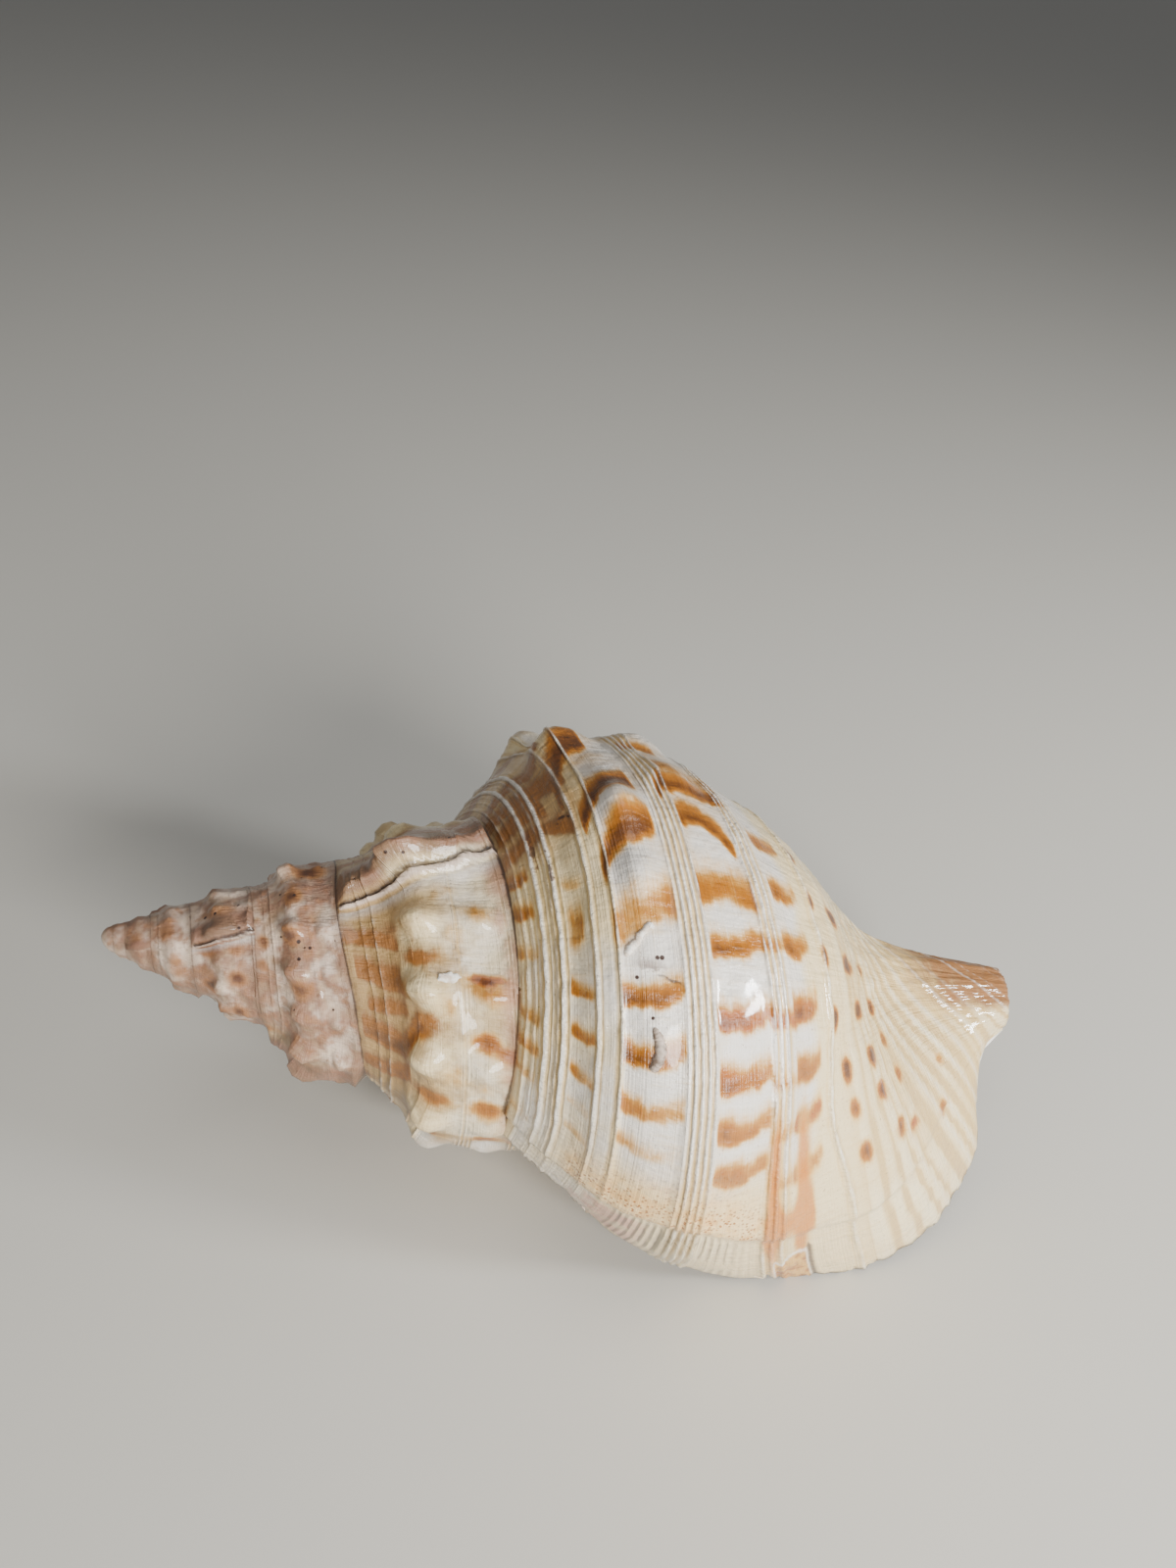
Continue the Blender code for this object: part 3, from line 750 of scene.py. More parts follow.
# Soft patches on the spire: turn, band, half length along the turn and across the band, strength, redness
PATCHES = (
    (-1.211, 0.443, 0.010, 0.09, 1.0, 0.0), (-1.216, 0.560, 0.009, 0.07, 0.5, 0.0),
    (-1.258, 0.800, 0.011, 0.09, 0.7, 0.0), (-1.1944, 0.81, 0.0052, 0.11, 1.35, 0.8),
    (-1.186, 0.82, 0.014, 0.14, 0.7, 0.4), (-1.140, 0.425, 0.010, 0.06, 1.3, 0.1),
    (-1.150, 0.48, 0.012, 0.08, 0.8, 0.1), (-1.135, 0.79, 0.009, 0.09, 1.1, 0.6),
    (-1.128, 0.90, 0.010, 0.10, 0.8, 0.6), (-1.068, 0.49, 0.009, 0.12, 1.0, 0.0),
    (-1.063, 0.79, 0.010, 0.11, 0.95, 0.2), (-1.178, 0.30, 0.012, 0.09, 0.8, 0.0),
    (-1.165, 0.60, 0.018, 0.08, 0.40, 0.0), (-1.100, 0.62, 0.014, 0.08, 0.40, 0.0),
    (-1.245, 0.30, 0.016, 0.08, 0.5, 0.0), (-1.285, 0.60, 0.012, 0.10, 0.35, 0.0),
    (-1.235, 0.66, 0.020, 0.05, 0.35, 0.0), (-1.090, 0.80, 0.012, 0.05, 0.35, 0.3),
    (-2.312, 0.50, 0.018, 0.12, 1.25, 0.3), (-2.232, 0.47, 0.018, 0.12, 1.25, 0.3),
    (-2.150, 0.50, 0.016, 0.13, 1.1, 0.4), (-2.226, 0.08, 0.016, 0.07, 0.9, 0.8),
    (-2.174, 0.06, 0.014, 0.07, 0.8, 0.7), (-2.272, 0.04, 0.014, 0.06, 0.6, 0.6),
    (-2.140, 0.03, 0.014, 0.06, 0.6, 0.4), (-2.377, 0.70, 0.024, 0.20, 1.1, 0.4),
    (-2.265, 0.72, 0.012, 0.08, 0.5, 0.4), (-3.198, 0.27, 0.030, 0.18, 1.1, 0.5),
    (-3.079, 0.25, 0.028, 0.18, 1.2, 0.6), (-3.204, 0.70, 0.022, 0.13, 0.9, 0.4),
    (-3.133, 0.71, 0.024, 0.14, 1.2, 0.6), (-3.015, 0.43, 0.024, 0.15, 1.2, 0.7),
    (-3.035, 0.69, 0.022, 0.15, 1.0, 0.6), (-3.300, 0.50, 0.030, 0.30, 0.7, 0.5),
    (-4.25, 0.40, 0.05, 0.30, 0.8, 0.5), (-4.10, 0.70, 0.05, 0.25, 0.7, 0.5),
    (-5.20, 0.50, 0.06, 0.30, 0.8, 0.6),
)
# Dots on the base: band, turn, half length across the band, strength, redness
DOTS = (
    (1.155, -0.318, 0.010, 0.9, 0.2), (1.150, -0.274, 0.009, 0.9, 0.2), (1.148, -0.232, 0.010, 0.95, 0.1),
    (1.155, -0.192, 0.009, 0.95, 0.2), (1.185, -0.158, 0.014, 0.9, 0.1), (1.200, -0.130, 0.013, 0.6, 0.4),
    (1.215, -0.100, 0.015, 0.75, 0.3), (1.235, -0.270, 0.014, 1.0, 0.5), (1.255, -0.231, 0.020, 1.0, 0.4),
    (1.285, -0.194, 0.018, 1.0, 0.6), (1.303, -0.158, 0.014, 1.05, 0.4),
    (1.315, -0.129, 0.015, 0.85, 0.7), (1.345, -0.096, 0.018, 0.65, 0.5),
    (1.360, -0.234, 0.014, 0.7, 0.4), (1.385, -0.194, 0.014, 0.9, 0.6), (1.397, -0.160, 0.013, 0.6, 0.4),
    (1.410, -0.129, 0.014, 0.55, 0.6), (1.405, -0.088, 0.022, 0.45, 1.0),
    (1.550, -0.070, 0.022, 0.5, 0.2), (1.62, -0.105, 0.018, 0.35, 0.2),
)
BAR_SAG = 0.002  # how far a bar hangs towards the lip between its ends
BAR_FADES = (1.22, 0.5)  # strength at its first end, and how much of it is lost by its last
LINE_END = 0.016  # a drawn line ends softly over this much of the band
DOT_THICK = 0.0076
DOT_LONG = 1.2
DOT_STRONG = 1.85
RAGGED_MARKS = 0.0014  # how far the marks' edges wander, in turns
SHARP_SIDE = 0.80  # a bar ends sharply towards the lip and washes out behind
WASHED_SIDE = 2.0
BACK_FROM = -0.41  # from here back the marks fill the gaps between the knobs
SPIRE_DRAWN = ((0.62, 0.04), (1.0, 0.03))  # but not in this part of the spire's turns
# Marks on the back: band, half width, strength, redness; and on its base: band, half width
BACK_ROWS = ((0.44, 0.14, 1.1, 0.15), (0.81, 0.13, 1.05, 0.6), (1.06, 0.06, 1.0, 0.4))
BASE_ROWS = ((1.2, 0.02), (1.32, 0.018), (1.43, 0.014))
GAP_SHARPNESS = 3.2
# Orange stripes near the lip: band at the lip and at turn -0.14, half width, strength
STRIPES = ((0.970, 0.950, 0.024, 1.15), (1.040, 1.045, 0.020, 1.25))
STRIPES_BEND = 0.14
STRIPES_FADE = (-0.175, 0.06)
STRIPES_PALER = 0.45  # how much of them is lost at the lip
STRIPES_PALER_FADE = (-0.055, 0.03)
STRIPE_WASH = (-0.076, 0.013, 0.925, 1.08, 0.95)  # turn, half length, bands from and to, strength
# Cracks in the face: half thickness in turns and their line as (band, turn)
CRACKS = (
    (0.0016, ((0.25, -0.310), (0.29, -0.314), (0.33, -0.310))),
    (0.0012, ((0.545, -0.2105), (0.570, -0.2090), (0.602, -0.2075), (0.64, -0.2065))),
)
# Places where the glaze is worn off: turn, band, half length, half width, depth
WORN = ((-0.30, 0.14, 0.025, 0.014, 1), (-0.28, 0.20, 0.022, 0.010, 1), (-0.213, 0.52, 0.008, 0.09, 0.5))
HOLE_RIM = 1.2  # a hole's dark mark is this much wider than the hole
LIP_ROUND = 80  # radius at the lip, for lengths along the turn
# Small bored holes: turn, band, radius in millimetres
HOLES = (
    (-0.2185, 0.549, 0.50), (-0.2187, 0.566, 0.55), (-0.2075, 0.471, 0.45), (-0.1884, 0.521, 0.40),
    (-1.3159, 0.456, 0.50), (-1.3147, 0.490, 0.45), (-2.2244, 0.537, 0.50), (-2.2157, 0.644, 0.40),
    (-2.1969, 0.517, 0.45), (-2.3122, 0.530, 0.40), (-3.2921, 0.463, 0.45), (-3.2946, 0.255, 0.45),
    (-3.3122, 0.785, 0.40), (-3.2495, 0.792, 0.40),
)


def along(points, v):
    """Turn of a drawn line at each band, and 1 between its ends."""
    first, last = points[0][0] - LINE_END / 2, points[-1][0] + LINE_END / 2
    return through(points, v), rising(v, first, LINE_END) * falling(v, last, LINE_END)


class Pigment:
    """Strength and redness of the brown marks; where two marks meet, the stronger one shows."""

    def __init__(self, t, v):
        coarse = np.sin(71 * v + 130 * t) * np.sin(33 * v - 61 * t + 1)
        fine = np.sin(190 * v + 50 * t) * np.sin(260 * t - 40 * v)
        self.t = t + RAGGED_MARKS * (coarse + 0.5 * fine)
        self.v = v
        self.strength = np.zeros(t.shape)
        self.redness = np.zeros(t.shape)

    def paint(self, here, red):
        self.redness = np.where(here > self.strength, red, self.redness)
        self.strength = np.maximum(self.strength, here)

    def bar(self, line, half, strong, red):
        """A mark along a line, sharp towards the lip and washed out behind."""
        middle, inside = along(line, self.v)
        off = self.t - middle
        washed = bump(off, half * np.where(off > 0, SHARP_SIDE, WASHED_SIDE))
        self.paint(washed * inside * strong, red)

    def patch(self, turn, band, long, wide, strong, red):
        self.paint(bump(self.t - turn, long) * bump(self.v - band, wide) * strong, red)


def front_marks(pigment):
    """The marks on the side that shows, each at its own place."""
    on_front = rising(pigment.t, BACK_FROM, 0.03)
    whole, lost = BAR_FADES
    for first, last, slant, half, row in BAR_ROWS:
        fade = whole - lost * np.clip((pigment.v - first) / (last - first), 0, 1)
        for turn, strong, red in row:
            middle = ((first + last) / 2, turn + 0.25 * slant)
            line = ((first, turn - BAR_SAG), middle, (last, turn + slant))
            pigment.bar(line, half, strong * fade * on_front, red)
    for strong, red, half, line in SMEARS:
        pigment.bar(line, half, strong, red)
    for band, turn, half, strong, red in DOTS:
        pigment.patch(turn, band, DOT_THICK, DOT_LONG * half, DOT_STRONG * strong, red)
    for patch in PATCHES:
        pigment.patch(*patch)


def between_knobs(number, sharpness=1):
    """1 half way between two knobs, 0 on each."""
    return (0.5 - 0.5 * np.cos(math.tau * number)) ** sharpness


def back_marks(pigment):
    """The back of the last whorl and the spire: patches between the knobs, streaks above them."""
    t, v = pigment.t, pigment.v
    part = t - np.floor(t)
    drawn = rising(part, *SPIRE_DRAWN[0]) * falling(part, *SPIRE_DRAWN[1]) * rising(t, -4, 0.3)
    back = falling(t, BACK_FROM, 0.04) * (1 - (t < -1) * drawn)
    number = knob_number(t)
    gap = between_knobs(number + 0.04, GAP_SHARPNESS)
    which = np.floor(number)
    for seed, (line, half, strong, red) in enumerate(BACK_ROWS):
        off_line = v - line - KNOB_OFF_LINE * wander(which, seed + 2)
        across = bump(off_line, half * (1 + 0.2 * wander(which, seed + 6)))
        uneven = strong * (0.8 + 0.35 * wander(which, seed + 11))
        pigment.paint(gap * across * uneven * back * np.where(t < -1, rising(t, -3.9, 1.6), 1), red)
    streaks = between_knobs(number + 0.25 * np.sin(8 * v) + 0.1, 2) * falling(v, 0.37, 0.1)
    streaks = streaks * (0.75 + 0.3 * wander(np.floor(number + 0.1), 3))
    pigment.paint(streaks * back * np.where(t < -1, rising(t, -2.7, 0.8), 1), 0.1)
    pigment.paint(0.62 * rising(v, 1.60, 0.25) * falling(t, -0.12, 0.1), 0.1)
    base = sum(bump(v - line, half) for line, half in BASE_ROWS)
    pigment.paint(0.9 * gap * base * back, 0.4)


def stripes(drawn, v):
    """The orange stripes at the lip's lower corner, and the wash over them."""
    total = np.zeros(drawn.shape)
    for at_lip, behind, half, strong in STRIPES:
        band = at_lip + (behind - at_lip) * falling(drawn, 0, STRIPES_BEND)
        total = total + strong * bump(v - band, half)
    total = total * rising(drawn, *STRIPES_FADE) * (1 - STRIPES_PALER * rising(drawn, *STRIPES_PALER_FADE))
    turn, long, first, last, strong = STRIPE_WASH
    return total + strong * bump(drawn - turn, long) * rising(v, first, 0.02) * falling(v, last, 0.02)


def ground_tan_and_shade(t, v, drawn, valley_shade):
    """How tanned the ground is; the spire is tanned all over, most on its shoulder, with painted shade
    added in the valleys between its knobs.
    """
    shoulder = falling(v, 0.44, 0.12) * np.maximum(falling(t, -0.25, 0.07), 0.06)
    shoulder = shoulder * np.where(t < -0.5, 0.8, 1)
    back = 0.25 * falling(t, -0.4, 0.1)
    above_base = 0.55 * falling(drawn, -0.24, 0.08) * falling(v, 1.15, 0.3)
    canal = 1.3 * rising(v, 1.5, 0.25) * falling(drawn, -0.10, 0.12)
    last_whorl = np.maximum.reduce([shoulder, back, above_base, canal])
    # painted shade: the valleys between the knobs are tanned darker, as shade falls there
    spire = 0.36 + 0.98 * falling(v, 0.42, 0.16) + 0.5 * valley_shade + 0.3 * rising(v, 0.86, 0.1)
    return np.where(t < -1, spire, last_whorl)


def warm_ground(v):
    """The base and the canal are warmer, and so are the bands beside two rows of bars."""
    beside = 0.5 * bump(v - 0.69, 0.05) + 0.5 * bump(v - 0.98, 0.05)
    return np.maximum(0.8 * rising(v, 1.10, 0.2) + beside, 1.1 * rising(v, 1.45, 0.3))


def cool_ground(t, v):
    """How bluish the ground is on the last whorl."""
    middle = rising(v, 0.40, 0.05) * falling(v, 1.12, 0.1) * falling(t, -0.06, 0.10)
    shoulder = 0.45 * rising(v, 0.03, 0.03) * falling(v, 0.42, 0.03) * rising(t, -0.26, 0.06)
    return (middle + shoulder) * np.where(t < -0.42, 0.55, 1) - 0.35 * rising(v, 1.12, 0.06)


def lip_marks(t, v, drawn):
    """Peach behind the rest line, and the pleats, the fold and the tooth in front of it."""
    past = t - through(REST_LINE, v)
    behind = bump(np.minimum(past + 0.012, 0), 0.022) * falling(past, 0.004, 0.006)
    tooth_from = 0.010 * bump(v - 0.985, 0.02) - 0.042
    return {
        "peach": 1.05 * behind * rising(v, 0.22, 0.08) * falling(v, 1.10, 0.25),
        "pleat": rising(past, 0.002, 0.006) * rising(v, 0.44, 0.06) * falling(v, 0.95, 0.22),
        "fold": rising(past, 0.004, 0.006) * rising(v, 0.28, 0.06) * falling(v, 0.64, 0.12),
        "tooth": rising(v, 0.962, 0.012) * falling(v, 1.056, 0.012) * rising(drawn, tooth_from, 0.008),
    }


def rib_marks(t, v, drawn):
    """Cracks, thin ridges and pearly bands in front of the ribs, and the cracks in the face."""
    crack, ridge, pearly = np.zeros((3, *t.shape))
    for n in RIBS_WITH_CRACKS:
        past = varix_past(t, v, n)
        crack = crack + bump(past - CRACK_PAST, 0.0028 + 0.0008 * n)
        crack = crack + 0.55 * bump(past - SECOND_CRACK_PAST, 0.0036 + 0.0006 * n)
        ridge = ridge + bump(past - THIN_RIDGE_PAST, 1.1 * THIN_RIDGE_HALF)
        pearly = pearly + 0.7 * rising(past, 0.022, 0.006) * falling(past, 0.060, 0.04)
    for half, line in CRACKS:
        middle, inside = along(line, v)
        crack = crack + bump(drawn - middle, half) * inside
    crack = crack + 0.9 * bump(v - 1.058, 0.004) * rising(t, -0.034, 0.006)
    return crack, ridge, pearly


def markings(t, v, side):
    """The named amounts that the shell's material reads at every corner."""
    drawn = np.where(t > -0.5, before_lip(t, v), t)
    pigment = Pigment(drawn, v)
    front_marks(pigment)
    back_marks(pigment)
    whorl = -t
    last_whorl = rising(t, -1, 0.004)
    spire = rising(whorl, 1.93, 0.12)
    ribs = np.clip(varices(t, v), 0, 1)
    # painted shade: 1 in the hollows between the upper row of knobs, where those are darkened
    valley_shade = between_knobs(knob_number(t)) * bump(v - KNOB_LINE, 0.16)
    tan_and_valley_shade = ground_tan_and_shade(t, v, drawn, valley_shade)
    lip = lip_marks(t, v, drawn)
    crack, ridge, pearly = rib_marks(t, v, drawn)
    worn = sum(
        deep * bump(v - band, wide) * bump(drawn - turn, long) for turn, band, long, wide, deep in WORN
    )
    pits = np.maximum(ribs * rising(whorl, 1.2, 0.05), 0.75 * rising(whorl, 2.05, 0.1))
    from_suture = np.where(t > -1, v, np.minimum(v, 1 - v)) * (reach(t + 1) - reach(t)) * 1.1
    from_suture = from_suture + 3 * rising(whorl, 5.6, 0.6) + 0.45 * spire
    on_outside = {
        "brown": np.clip(pigment.strength, 0, 1.3),
        "stripe": stripes(drawn, v),
        "warm": warm_ground(v) * last_whorl,
        # dirt over the penultimate whorl, with painted shade added in the valleys between the knobs
        "dirt_and_valley_shade": (t < -1) * (1 - spire) * (0.5 + 0.6 * valley_shade) * rising(v, 0.28, 0.1),
        "crest": np.clip(cords(t, v) / 1.2, 0, 1.3),
        "groove": np.clip(grooves(t, v) / 1.3, 0, 1.3),
        "fan": 0.7 * fan(t, v),
        "pleat": lip["pleat"],
        "tooth": lip["tooth"],
        "ridge": ridge * rising(v, 0, 0.03),
        "pits": pits * falling(whorl, 3.7, 0.3),
    }
    outside = side == OUTSIDE
    amounts = {name: np.where(outside, values, 0) for name, values in on_outside.items()}
    return amounts | {
        "redness": pigment.redness,
        "tan_and_valley_shade": tan_and_valley_shade * (1 - spire),
        "cool": cool_ground(t, v) * last_whorl + 0.25 * (1 - last_whorl) * rising(v, 0.5, 0.15),
        "peach": lip["peach"],
        "fold": lip["fold"] + 0.6 * (t < -1) * (t > -2) * rising(v, 0.82, 0.12),
        "spire": spire,
        "rib": ribs * rising(whorl, 1.0, 0.1),
        "pearly": np.where(t < -1, np.clip(pearly, 0, 1), 0),
        "crack": np.clip(crack, 0, 1) * rising(v, 0, 0.02),
        "worn": worn,
        "lip_mm": np.clip(whorl, 0, 0.4) * math.tau * LIP_ROUND,
        "suture_mm": np.where(outside, from_suture, 50),
        "inside": np.where(outside, 0.0, 1.0),
    }


def make_shell():
    skin = build_skin()
    points = lay_down(np.concatenate(skin.points))
    points[:, 2] = np.maximum(points[:, 2], FLOOR_GAP * MM)
    mesh = bpy.data.meshes.new("shell_skin")
    mesh.from_pydata(points, [], skin.faces)
    mesh.update()
    places = np.array(skin.places)
    t, v, side = places[:, 0], places[:, 1], places[:, 2]
    uv = mesh.uv_layers.new(name="growth")
    uv.data.foreach_set("uv", np.stack([t, v], -1).astype(np.float32).ravel())
    for name, values in markings(t, v, side).items():
        attribute = mesh.attributes.new(name, "FLOAT", "CORNER")
        attribute.data.foreach_set("value", values.astype(np.float32))
    mesh.shade_smooth()
    shell = bpy.data.objects.new("shell_skin", mesh)
    bpy.context.scene.collection.objects.link(shell)
    return shell


# ---- What grows on the shell ----

# Places along each tube: turn, band, radius in millimetres
WORM_TUBE = (
    (-0.1842, 0.524, 0.5), (-0.1815, 0.532, 1.0), (-0.1784, 0.541, 1.3), (-0.1734, 0.546, 1.5),
    (-0.1684, 0.537, 1.5), (-0.1645, 0.526, 1.3), (-0.1620, 0.521, 1.0),
)
LIME_THREAD = (
    (-0.2180, 0.432, 0.5), (-0.2205, 0.447, 1.0), (-0.2235, 0.461, 1.1), (-0.2262, 0.484, 0.9),
    (-0.2290, 0.492, 1.0), (-0.2318, 0.513, 0.8), (-0.2345, 0.531, 1.0), (-0.2340, 0.541, 0.8),
    (-0.2332, 0.548, 0.4),
)
TUBE_STEPS = 8  # rings between two places
TUBE_SIDES = 14
TUBE_SUNK = 0.05  # how far its middle lies below the face, as a share of its radius
LIME_PATCH = (-1.1944, 0.617, 3.4, 1.5, 0.8)  # turn, band, half length, half width and height
LIME_PATCH_RAGGED = 0.35
LIME_PATCH_GRAIN = 900  # to the metre


def on_shell(t, v, lift=0.0):
    """A place on the outer face, raised off it, in metres."""
    turned = np.where(np.asarray(t) > -1, lip_turn(t, v), t)
    x, r = wall_section(turned, v)
    along_axis, out = outward(turned, v)
    return lay_down(in_space(turned, x + along_axis * lift, r + out * lift))


def make_tube(name, places):
    """A limy tube lying along the places, half sunk in the face, with rounded ends."""
    at = np.arange(len(places), dtype=float)
    fine = np.linspace(0, at[-1], TUBE_STEPS * (len(places) - 1) + 1)
    t, v, radius = (between(at, np.array([p[k] for p in places]), fine) for k in range(3))
    ends = np.sqrt(np.clip(1 - np.clip(1 - np.minimum(fine, at[-1] - fine) * 2, 0, 1) ** 2, 0.02, 1))
    radius = radius * ends * (1 + 0.12 * np.sin(9 * fine) * np.sin(4 * fine + 1))
    bpy.ops.object.select_all(action="DESELECT")
    bpy.ops.curve.primitive_nurbs_path_add()
    tube = bpy.context.object
    curve = tube.data
    curve.splines.clear()
    spline = curve.splines.new("POLY")
    spline.points.add(len(fine) - 1)
    for point, place, thick in zip(spline.points, on_shell(t, v, -TUBE_SUNK * radius), radius):
        point.co = (*map(float, place), 1)
        point.radius = float(thick)
    curve.dimensions = "3D"
    curve.bevel_depth = MM
    curve.bevel_resolution = TUBE_SIDES // 2 - 2
    curve.use_fill_caps = True
    bpy.ops.object.convert(target="MESH")
    tube.name = name
    bpy.ops.object.shade_smooth()
    return tube


def make_patch(name):
    """A low crust of lime."""
    turn, band, long, wide, high = LIME_PATCH
    middle = on_shell(turn, band, 0.1)
    ahead = Vector(on_shell(turn, band + 0.01) - middle)
    off = Vector(on_shell(turn, band, 2.0) - middle)
    bpy.ops.object.select_all(action="DESELECT")
    bpy.ops.mesh.primitive_uv_sphere_add(segments=32, ring_count=16, radius=MM, location=middle)
    patch = bpy.context.object
    patch.name = name
    patch.scale = (long, wide, high)
    patch.rotation_euler = rotation_to(ahead, off)
    bpy.ops.object.transform_apply(location=True, rotation=True, scale=True)
    for corner in patch.data.vertices:
        ragged = LIME_PATCH_RAGGED * noise.noise(corner.co * LIME_PATCH_GRAIN)
        corner.co += (corner.co - Vector(middle)) * ragged
    bpy.ops.object.shade_smooth()
    return patch


def rotation_to(x, z):
    """Turn that lays X along x and Z nearly along z."""
    x = x.normalized()
    y = z.cross(x).normalized()
    return Matrix((x, y, x.cross(y))).transposed().to_euler()


# ---- Materials ----

class Nodes:
    """A short way to lay out shader nodes; colour is what has been laid on so far."""

    def __init__(self, name):
        self.material = bpy.data.materials.new(name)
        self.material.use_nodes = True
        self.tree = self.material.node_tree
        self.shader = self.tree.nodes["Principled BSDF"]
        self.colour = None

    def link(self, value, socket):
        if isinstance(value, bpy.types.NodeSocket):
            self.tree.links.new(value, socket)
        else:
            socket.default_value = value

    def node(self, kind, inputs, **settings):
        """A node with its settings; inputs go to its sockets by name or number."""
        node = self.tree.nodes.new("ShaderNode" + kind)
        for name, value in settings.items():
            setattr(node, name, value)
        for socket, value in inputs.items():
            self.link(value, node.inputs[socket])
        return node

    @cached_property
    def place(self):
        return self.node("TexCoord", {}).outputs["Object"]

    def amount(self, name):
        return self.node("Attribute", {}, attribute_name=name).outputs["Fac"]

    def math(self, operation, a, b=0.0, clamp=False):
        return self.node("Math", {0: a, 1: b}, operation=operation, use_clamp=clamp).outputs[0]

    def add(self, a, b, clamp=False):
        return self.math("ADD", a, b, clamp)

    def times(self, a, b, clamp=False):
        return self.math("MULTIPLY", a, b, clamp)

    def stir(self, value, grain, swing):
        """value moved up and down by a noise."""
        return self.add(value, self.times(self.math("SUBTRACT", grain, 0.5), swing))

    def ramp(self, value, low, high, to_low=0.0, to_high=1.0):
        """value taken smoothly from low..high to to_low..to_high."""
        inputs = dict(enumerate((value, low, high, to_low, to_high)))
        return self.node("MapRange", inputs, interpolation_type="SMOOTHSTEP").outputs[0]

    def noise(self, where, scale, detail=3.0):
        inputs = {"Vector": where, "Scale": scale, "Detail": detail, "Roughness": 0.55}
        return self.node("TexNoise", inputs).outputs["Fac"]

    def mix(self, amount, a, b):
        return self.node("Mix", {0: amount, 6: a, 7: b}, data_type="RGBA").outputs[2]

    def lay(self, colour, amount):
        """Lays a colour over what is there: amount 1 hides it."""
        self.colour = self.mix(amount, self.colour, colour)

    def lay_where(self, colour, value, low, high, most=1.0):
        """Lays a colour where value rises from low to high."""
        self.lay(colour, self.ramp(value, low, high, 0, most))

    def uv(self):
        return self.node("UVMap", {}, uv_map="growth").outputs[0]

    def growth(self, along, across):
        """The place (t, v) stretched by the two numbers."""
        return self.node("Mapping", {0: self.uv(), "Scale": (along, across, 1)}).outputs[0]

    def pit_holes(self, scale, radius):
        """1 inside small round holes, one to a cell."""
        cells = self.node("TexVoronoi", {"Vector": self.place, "Scale": scale})
        return self.ramp(cells.outputs["Distance"], 0.7 * radius, 1.3 * radius, 1.0, 0.0)

    def waves(self, step, jitter):
        """A sine wave of the band, with its place shifted by jitter."""
        band = self.node("SeparateXYZ", {0: self.uv()}).outputs[1]
        return self.math("SINE", self.add(self.times(band, math.tau / step), jitter))

    def near(self, centre, radius):
        """1 within radius of a point."""
        away = self.node("VectorMath", {0: self.place, 1: centre}, operation="DISTANCE")
        return self.ramp(away.outputs["Value"], 0.75 * radius, 1.15 * radius, 1.0, 0.0)

    def raised(self, height, distance, strength, under=None):
        inputs = {"Height": height, "Distance": distance, "Strength": strength}
        if under is not None:
            inputs["Normal"] = under
        return self.node("Bump", inputs).outputs[0]

    def finish(self, **inputs):
        """The colour laid on so far and the shader's other inputs; returns the material."""
        for name, value in inputs.items():
            self.link(value, self.shader.inputs[name.replace("_", " ").title()])
        self.link(self.colour, self.shader.inputs["Base Color"])
        return self.material


CREAM = srgb(247, 230, 186)
BLUE_WHITE = srgb(236, 242, 248)
BUFF = srgb(219, 184, 118)
TAN = srgb(168, 126, 80)
TAN_DEEP = srgb(112, 78, 44)
MARK_TAN = srgb(140, 98, 58)
AMBER = srgb(222, 170, 84)
OCHRE = srgb(166, 100, 20)
ORANGE = srgb(204, 122, 28)
DEEP_BROWN = srgb(92, 50, 12)
RED_BROWN = srgb(170, 84, 34)
DEEP_RED = srgb(108, 46, 20)
SPIRE_PINK = srgb(150, 106, 84)
SPIRE_PALE = srgb(222, 198, 180)
SPIRE_OCHRE = srgb(164, 112, 68)
SPIRE_BROWN = srgb(92, 54, 32)
PEACH_DEEP = srgb(240, 190, 118)
PEACH = srgb(250, 214, 154)
FOLD_SHADE = srgb(212, 190, 160)
FOLD_PINK = srgb(204, 148, 128)
RIB_BROWN = srgb(124, 92, 68)
PEARL = srgb(222, 220, 218)
WHITE = srgb(248, 244, 234)
# laid as dirt and as painted shade between the knobs
KNOB_DIRT_AND_SHADE = srgb(134, 106, 82)
# grey for specks of dirt, and for painted shade along the sutures
GREY_DIRT_AND_SHADE = srgb(128, 98, 72)
DARK = srgb(56, 34, 24)
TUBE_GREY = srgb(190, 172, 156)
TUBE_SHADE = srgb(120, 100, 84)
THREAD_SHADE = srgb(214, 196, 176)
MOUTH = srgb(226, 168, 118)
FLOOR_WHITE = srgb(198, 194, 184)


def shell_grain(n):
    """The noises that the shell's colours and bumps share."""
    return SimpleNamespace(
        soft=n.noise(n.place, 38, 4),
        cloudy=n.noise(n.place, 90),
        fine=n.noise(n.place, 260, 4),
        specks=n.noise(n.place, 1100, 2),
        lines=n.noise(n.growth(260, 6), 1.0),
        threads=n.noise(n.growth(7, 150), 1.0),
        beads=n.noise(n.growth(420, 60), 1.0, 2),
    )


